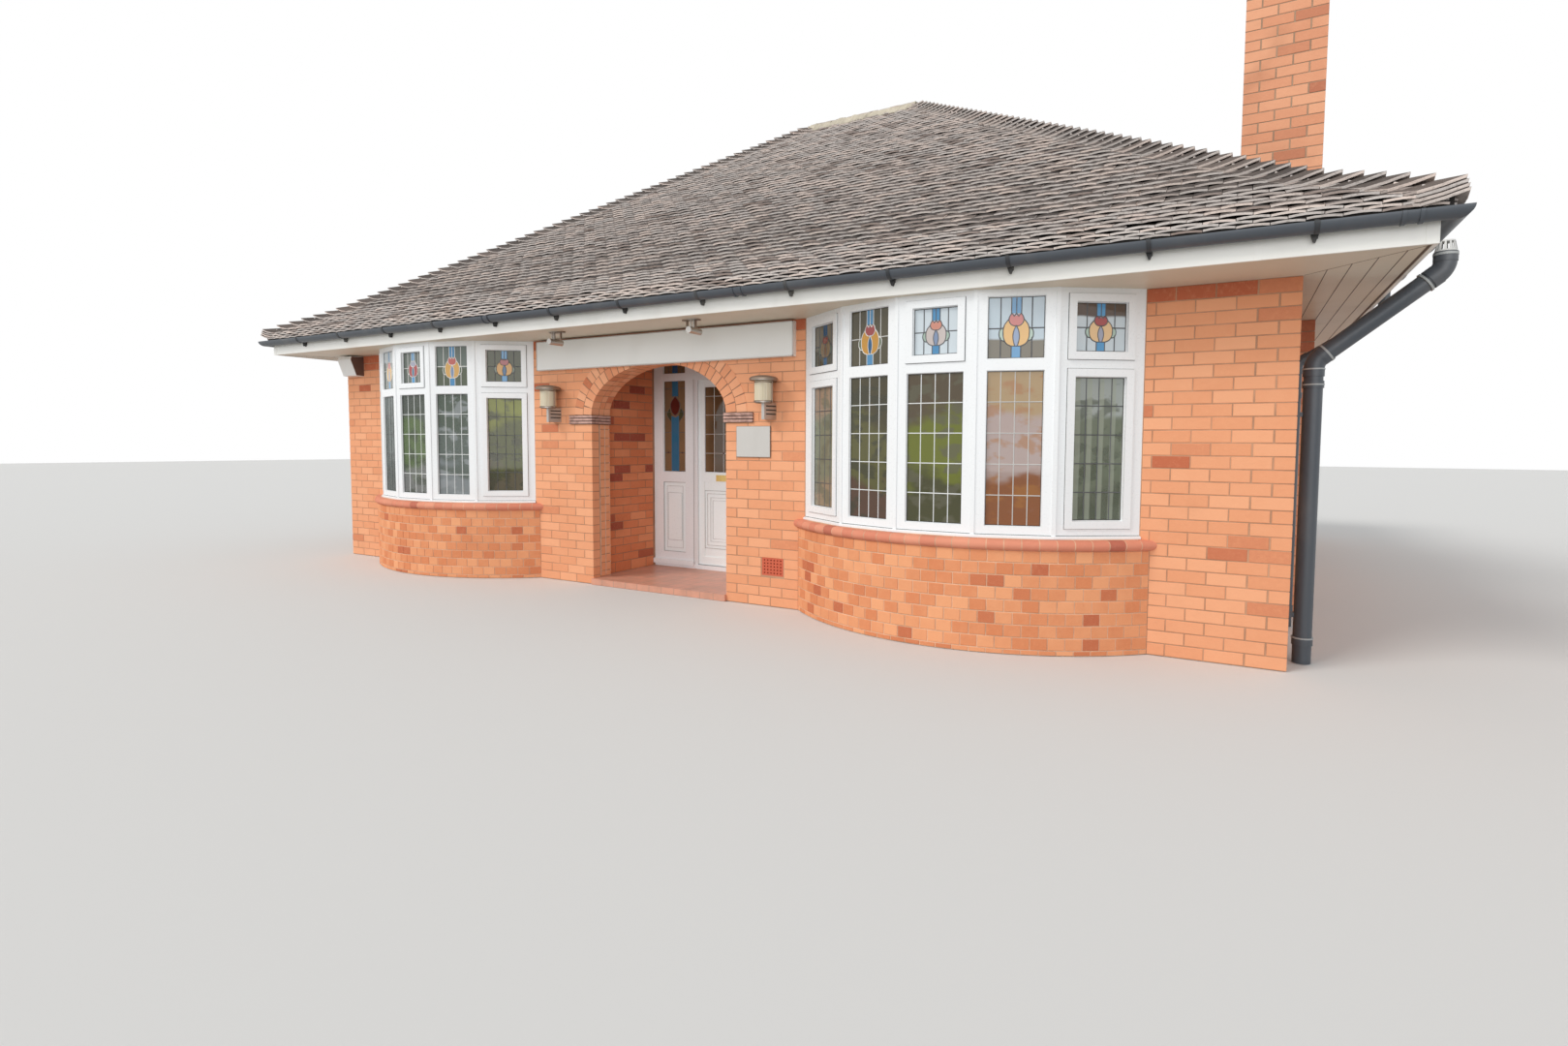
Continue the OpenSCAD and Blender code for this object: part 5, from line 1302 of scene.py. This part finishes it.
# %% Sub-sills
BAY_CORNERS = [radians(v) for v in (-42, -24.3, -8.48, 8.48, 24.3, 42)]
SUB_SILL = ((-0.01, -0.0005), (0.020, -0.0005), (0.020, 0.014), (0.004, 0.020), (-0.01, 0.020))
SHADOW = ((-0.01, 0.0195), (0.0015, 0.0195), (0.0015, 0.0235), (-0.01, 0.0235))
for side, x in zip(SIDES, BAYS):
    for name, finish, profile in (("sub_sill", FRAME, SUB_SILL), ("sill_shadow", GASKET, SHADOW)):
        Shape().rings([[on_bay(x, BAY_R + out, angle, SILL_TOP + up) for out, up in profile]
                       for angle in BAY_CORNERS]).piece(side + "_bay_" + name, finish, "upvc")
print("sub-sills on", len(BAYS), "bays")


# %% Shadow lines of the door
def flat_pane(x0, x1, z0, z1, y):
    """A part of a flat front face, to be used like a pane."""
    return {"foot": vec((x0 + x1) / 2, y, z0), "along": vec(1, 0, 0), "out": vec(0, -1, 0),
            "wide": x1 - x0, "high": z1 - z0, "turn": 0.0}


leaf, side_panel, porch_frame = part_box("front_door"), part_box("entrance_panels"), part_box("entrance_frame")
lower = flat_pane(leaf[0].x + 0.008, leaf[1].x, 0.200, 1.013, leaf[0].y + 0.0005)
lines = []
for inset, width in ((0.095, 0.004), (0.128, 0.003), (0.170, 0.003), (0.200, 0.0025)):
    lines += surround(lower, inset, width, 0.0015)
laid("door_lines", CAME, lines, SHADE, body="door")
beside = flat_pane(side_panel[0].x, side_panel[0].x + 0.31, side_panel[0].z, side_panel[1].z, side_panel[0].y)
lines = surround(beside, 0.002, 0.006, 0.002) + surround(beside, 0.045, 0.0025, 0.0015)
nested = flat_pane(beside["foot"].x - 0.095, beside["foot"].x + 0.095, beside["foot"].z + 0.13,
                   beside["foot"].z + beside["high"] - 0.12, side_panel[0].y)
lines += surround(nested, 0, 0.003, 0.0015)
gap = flat_pane(leaf[0].x - 0.012, leaf[0].x + 0.002, 0.12, 2.11, porch_frame[0].y + 0.0005)
lines += [strip(gap, (0.3, 0), (0.3, 1), proud=0.001)]
laid("panel_lines", CAME, lines, SHADE)

# %% [markdown]
# ## Fittings
#
# Lanterns, spotlights, gutter clips, pipe collars and cover strips are small, but they are what
# makes the front look used. They are turned and swept shapes set round the plain solids.

# %% Lanterns and spotlights
def hoop(shape, centre, axis, radius, length, thick=0.004, look=0):
    """A collar round a pipe: its middle, the way the pipe runs, its size and how thick it is."""
    centre, axis = Vector(centre), Vector(axis).normalized()
    side = axis.orthogonal().normalized()
    other = axis.cross(side)
    inner, outer = radius - 0.003, radius + thick
    rings = [[centre + axis * along * length / 2 + (side * cos(t) + other * sin(t)) * r
              for t in angles(32, tau)[:-1]]
             for r, along in ((inner, -1), (outer, -1), (outer, 1), (inner, 1))]
    return shape.rings(rings, look, loop=True)


# A lantern's ribbed glass has a turned cap on its head and a cage of rods; under it, black strips on the
# bracket are painted shade in its slots
GLASS_FOOT, GLASS_HEAD = 1.790, 1.957
CAP = ((0.004, 0), (0.116, 0), (0.1215, 0.007), (0.1215, 0.021), (0.105, 0.033), (0.055, 0.044),
       (0.004, 0.047))
low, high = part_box("wall_lanterns")
lamps = Shape()
for x in (low.x + 0.12, high.x - 0.12):
    y = low.y + 0.12
    ribs = [(0.0745 + 0.0025 * (i % 2), t) for i, t in enumerate(angles(72, tau)[:-1])]
    lamps.rings([[(x + r * cos(t), y + r * sin(t), z) for r, t in ribs] for z in (GLASS_FOOT, GLASS_HEAD)])
    lamps.lathe(x, y, [(r, GLASS_HEAD + up) for r, up in CAP], 40, 1)
    for radius, z in ((0.079, 1.784), (0.068, 1.774), (0.075, 1.944)):
        hoop(lamps, (x, y, z), (0, 0, 1), radius, 0.009, look=1)
    for side in (-1, 1):
        lamps.lathe(x + side * 0.088, y, [(0.005, 1.775), (0.005, 1.960)], 10, 1)
        # Black strips: painted shade in the bracket's slots
        for z in (1.672, 1.706, 1.740):
            near, far = vec(x + side * 0.0535, FRONT - 0.010, z), vec(x + side * 0.021, FRONT - 0.112, z)
            off, up = vec(side * 0.003, -0.001, 0), vec(0, 0, 0.011)
            lamps.rings([[p - off, p + off, p + off + up, p - off + up] for p in (near, far)], 2)
lamps.piece("lantern_parts", [RIBBED, BRONZE, GASKET], "lamp_metal", smooth=True)

# Each spotlight has a plate under the soffit, two arms and a bar between them. These are their
# places across, half widths and half depths, and how far their foot and head are under the soffit
ARM_PARTS = ((0, 0.085, 0.022, 0.012, -0.001), (-0.045, 0.007, 0.010, 0.075, 0.011),
             (0.045, 0.007, 0.010, 0.075, 0.011), (0, 0.055, 0.008, 0.080, 0.068))
low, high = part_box("sign_spotlights")
arms = Shape()
for middle in (low.x + 0.078, high.x - 0.078):
    for across, dx, dy, foot, head in ARM_PARTS:
        x, y = middle + across, (low.y + high.y) / 2
        arms.box((x - dx, y - dy, SOFFIT - foot), (x + dx, y + dy, SOFFIT - head))
arms.piece("spotlight_arms", BRONZE, "lamp_metal", bevel=0.002)
print("lamps:", len(lamps.faces) + len(arms.faces), "faces")

# %% Gutter and fascia
GUTTER_Y, RIM, GUTTER_R = FRONT - 0.617, span("gutter", 2)[1], 0.056
fascia_x, fascia_y = span("fascia", 0)[1], span("fascia", 1)[0]
clips, sleeves, covers = Shape(), Shape(), Shape()
for x in (-4.91 + 0.833 * i for i in range(13)):
    y, edge = fascia_y - 0.004, GUTTER_Y - GUTTER_R
    clips.prism([(x - 0.019, y, RIM - 0.052), (x + 0.019, y, RIM - 0.052), (x + 0.005, y, RIM - 0.092),
                 (x - 0.005, y, RIM - 0.092)], (0, -0.030, 0))
    clips.box((x - 0.011, edge - 0.003, RIM - 0.012), (x + 0.011, edge + 0.012, RIM + 0.006))
under = [(-cos(t), -sin(t)) for t in angles(16)]
ring = [(y * 0.0625, z * 0.0625) for y, z in under] + [(y * 0.0545, z * 0.0545) for y, z in under[::-1]]
for joint in (-1.62, 1.31, 5.50):
    for shift in (-0.045, 0.030):
        sleeves.prism([(joint + shift, GUTTER_Y + y, RIM + z) for y, z in ring], (0.018, 0, 0))
for x, width in ((4.80, 0.035), (-0.22, 0.035), (fascia_x - 0.058, 0.0585), (-fascia_x - 0.0005, 0.0585)):
    covers.box((x, fascia_y - 0.0022, SOFFIT - 0.0015), (x + width, fascia_y + 0.004, SOFFIT + 0.125))
clips.piece("gutter_clips", GASKET, "rainwater")
sleeves.piece("gutter_sleeves", SLATE, "rainwater")
covers.piece("fascia_covers", EAVES, "upvc", bevel=0.001)
print("clips, sleeves and covers:", [len(q.faces) for q in (clips, sleeves, covers)])

# %% Soffit and pipes
GROOVE = plastic("soffit_groove", (0.12, 0.085, 0.06), 0.8)
grooves = Shape()
for side in (-1, 1):
    for out in (0.115, 0.225, 0.335, 0.445):
        x = side * (RIGHT + out)
        grooves.box((x - 0.002, FRONT - out, SOFFIT - 0.0012), (x + 0.002, REAR + out, SOFFIT + 0.002))
    x = side * (fascia_x - 0.034)
    grooves.box((x - 0.008, fascia_y + 0.03, SOFFIT - 0.0012), (x + 0.008, -fascia_y - 0.03, SOFFIT + 0.002))
    # The mitre at each corner
    for way, wall in ((-1, FRONT), (1, REAR)):
        a = Vector((side * (RIGHT + 0.01), wall + way * 0.01))
        b = Vector((side * (fascia_x - 0.03), wall + way * 0.53))
        off = Vector(((b - a).y, -(b - a).x)).normalized() * 0.0015
        grooves.prism([(*p, SOFFIT - 0.001) for p in (a - off, b - off, b + off, a + off)], (0, 0, 0.003))
grooves.piece("soffit_grooves", GROOVE, "upvc")

collars = Shape()
# The vent pipe, the slant of its offset, and the upright above the eaves
pipe, slant, upper_x = vec(5.177, FRONT + 0.3, 0), vec(0.644, 0, 0.523), 5.821
for z in (0.168, 1.826, 1.926):
    hoop(collars, pipe + vec(0, 0, z), (0, 0, 1), 0.0585, 0.009, 0.005)
for along in (0.10, 0.86):
    hoop(collars, pipe + vec(0, 0, 1.977) + slant * along, slant, 0.0585, 0.012, 0.005)
hoop(collars, (upper_x, pipe.y, 2.585), (0, 0, 1), 0.0585, 0.014)
collars.piece("pipe_collars", SEAL, "rainwater", smooth=True)
print("grooves and collars:", [len(q.faces) for q in (grooves, collars)])

# %% Box, sign and plaque
low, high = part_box("alarm_box")
cheek = [(0.0, 0.004), (-0.094, 0.010), (-0.158, 0.196), (-0.146, 0.228), (0.0, 0.236)]
Shape().prism([(high.x - 0.001, FRONT + y - 0.001, low.z + z) for y, z in cheek], (0.003, 0, 0)).piece(
    "alarm_cheek", DARK_BOX, "alarm_shell")
low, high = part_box("sign_board")
rim, edge = Shape(), 0.008
for x0, x1, z0, z1 in ((low.x, high.x, low.z, low.z + edge), (low.x, high.x, high.z - edge, high.z),
                       (low.x, low.x + edge, low.z, high.z), (high.x - edge, high.x, low.z, high.z)):
    rim.box((x0, low.y - 0.003, z0), (x1, low.y + 0.001, z1))
rim.piece("sign_rim", STEEL, "sign_panel")
low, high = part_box("plaque")
Shape().box((low.x - 0.004, low.y + 0.003, low.z - 0.006), (high.x + 0.004, high.y, high.z + 0.004)).piece(
    "plaque_edge", BRONZE, "plaque_metal", bevel=0.001)
print("faces of the sign's rim:", len(rim.faces))

# %% [markdown]
# ### Blinds
#
# Behind the left bay hang upright louvre slats, and a few behind the right bay's last pane.
# Each slat is a thin curved strip.

# %% Louvre blinds
FABRIC = plastic("blind_fabric", (0.90, 0.90, 0.80), 0.8, (0.78, 0.78, 0.68), 0.3)
arc = [(-0.5, 0.0), (-0.25, 0.006), (0, 0.008), (0.25, 0.006), (0.5, 0.0)]
ring = arc + [(x, y + 0.0012) for x, y in arc[::-1]]
slat = Shape().rings([[(x, y, z) for x, y in ring] for z in (0.0, 1.0)]).mesh("slat")
spots = []
# From one angle on the bay to another, in steps of about 2.6 degrees
for x, low, high in ((BAYS[0], -38, 38), (BAYS[1], 27, 38)):
    steps = int((high - low) / 2.6)
    for i in range(steps + 1):
        angle = radians(low + (high - low) * i / steps)
        place = on_bay(x, BAY_R - 0.15, angle, SILL_TOP + 0.03)
        spots.append((place, (0, 0, angle + radians(24 + chance.uniform(-3, 3))), (0.070, 1, 1.58), 0.5))
laid("blind_slats", slat, spots, FABRIC)

# %% [markdown]
# ## Light and floor
#
# The photograph has soft daylight, high and from the left of the street, and its shadows are
# light. A wide sun, a weaker low one from the street and a plain pale sky do that. The sky is
# white only for the camera and in mirrors.

# %% World and lamps
world = bpy.data.worlds.new("studio")
bpy.context.scene.world = world
world.use_nodes = True
world.node_tree.nodes.clear()
sky = Sheet(world.node_tree)
seen = sky.node("LightPath", out="Is Camera Ray")
for ray in ("Is Glossy Ray", "Is Transmission Ray"):
    seen = seen.math("MAXIMUM", sky.node("LightPath", out=ray))
ambient = sky.node("Background", {0: (0.95, 0.975, 1.0, 1.0), 1: 0.62})
white = sky.node("Background", {0: (1.0, 1.0, 1.0, 1.0), 1: 1.0})
both = sky.node("MixShader", {0: seen, 1: ambient, 2: white})
world.node_tree.links.new(both.socket, world.node_tree.nodes.new("ShaderNodeOutputWorld").inputs[0])

for name, energy, wide, colour, aim in (
        ("soft_sun", 1.42, 24, (1.0, 0.97, 0.93), (0.55, 0.72, -0.75)),
        ("street_fill", 1.10, 50, (0.97, 0.98, 1.0), (-0.36, 0.93, -0.14))):
    sun = bpy.data.lights.new(name, "SUN")
    sun.energy, sun.angle, sun.color = energy, radians(wide), colour
    put(name, sun).rotation_euler = Vector(aim).to_track_quat("-Z", "Y").to_euler()

# The floor is pale where it shows and duller where it only sends light back up
PAVING = Finish("studio_floor", Roughness=0.9)
direct, mirror = (PAVING.node("LightPath", out=ray) for ray in ("Is Camera Ray", "Is Glossy Ray"))
shown = direct.math("MAXIMUM", mirror)
PAVING.show(PAVING.mix(shown, (0.50, 0.49, 0.47), (0.72, 0.715, 0.70)))
floor = Shape().add([(x, y, -0.003) for x, y in ((-60, -40), (60, -40), (60, 60), (-60, 60))], [[0, 1, 2, 3]])
floor_object = put("studio_floor", floor.mesh("studio_floor"))
floor_object.data.materials.append(PAVING.material)
floor_object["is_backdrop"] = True

# %% Finish
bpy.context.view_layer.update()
added = [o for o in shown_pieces() if o.name not in nodes and o.type == "MESH"]
print("faces added:", sum(len(o.data.polygons) for o in added))
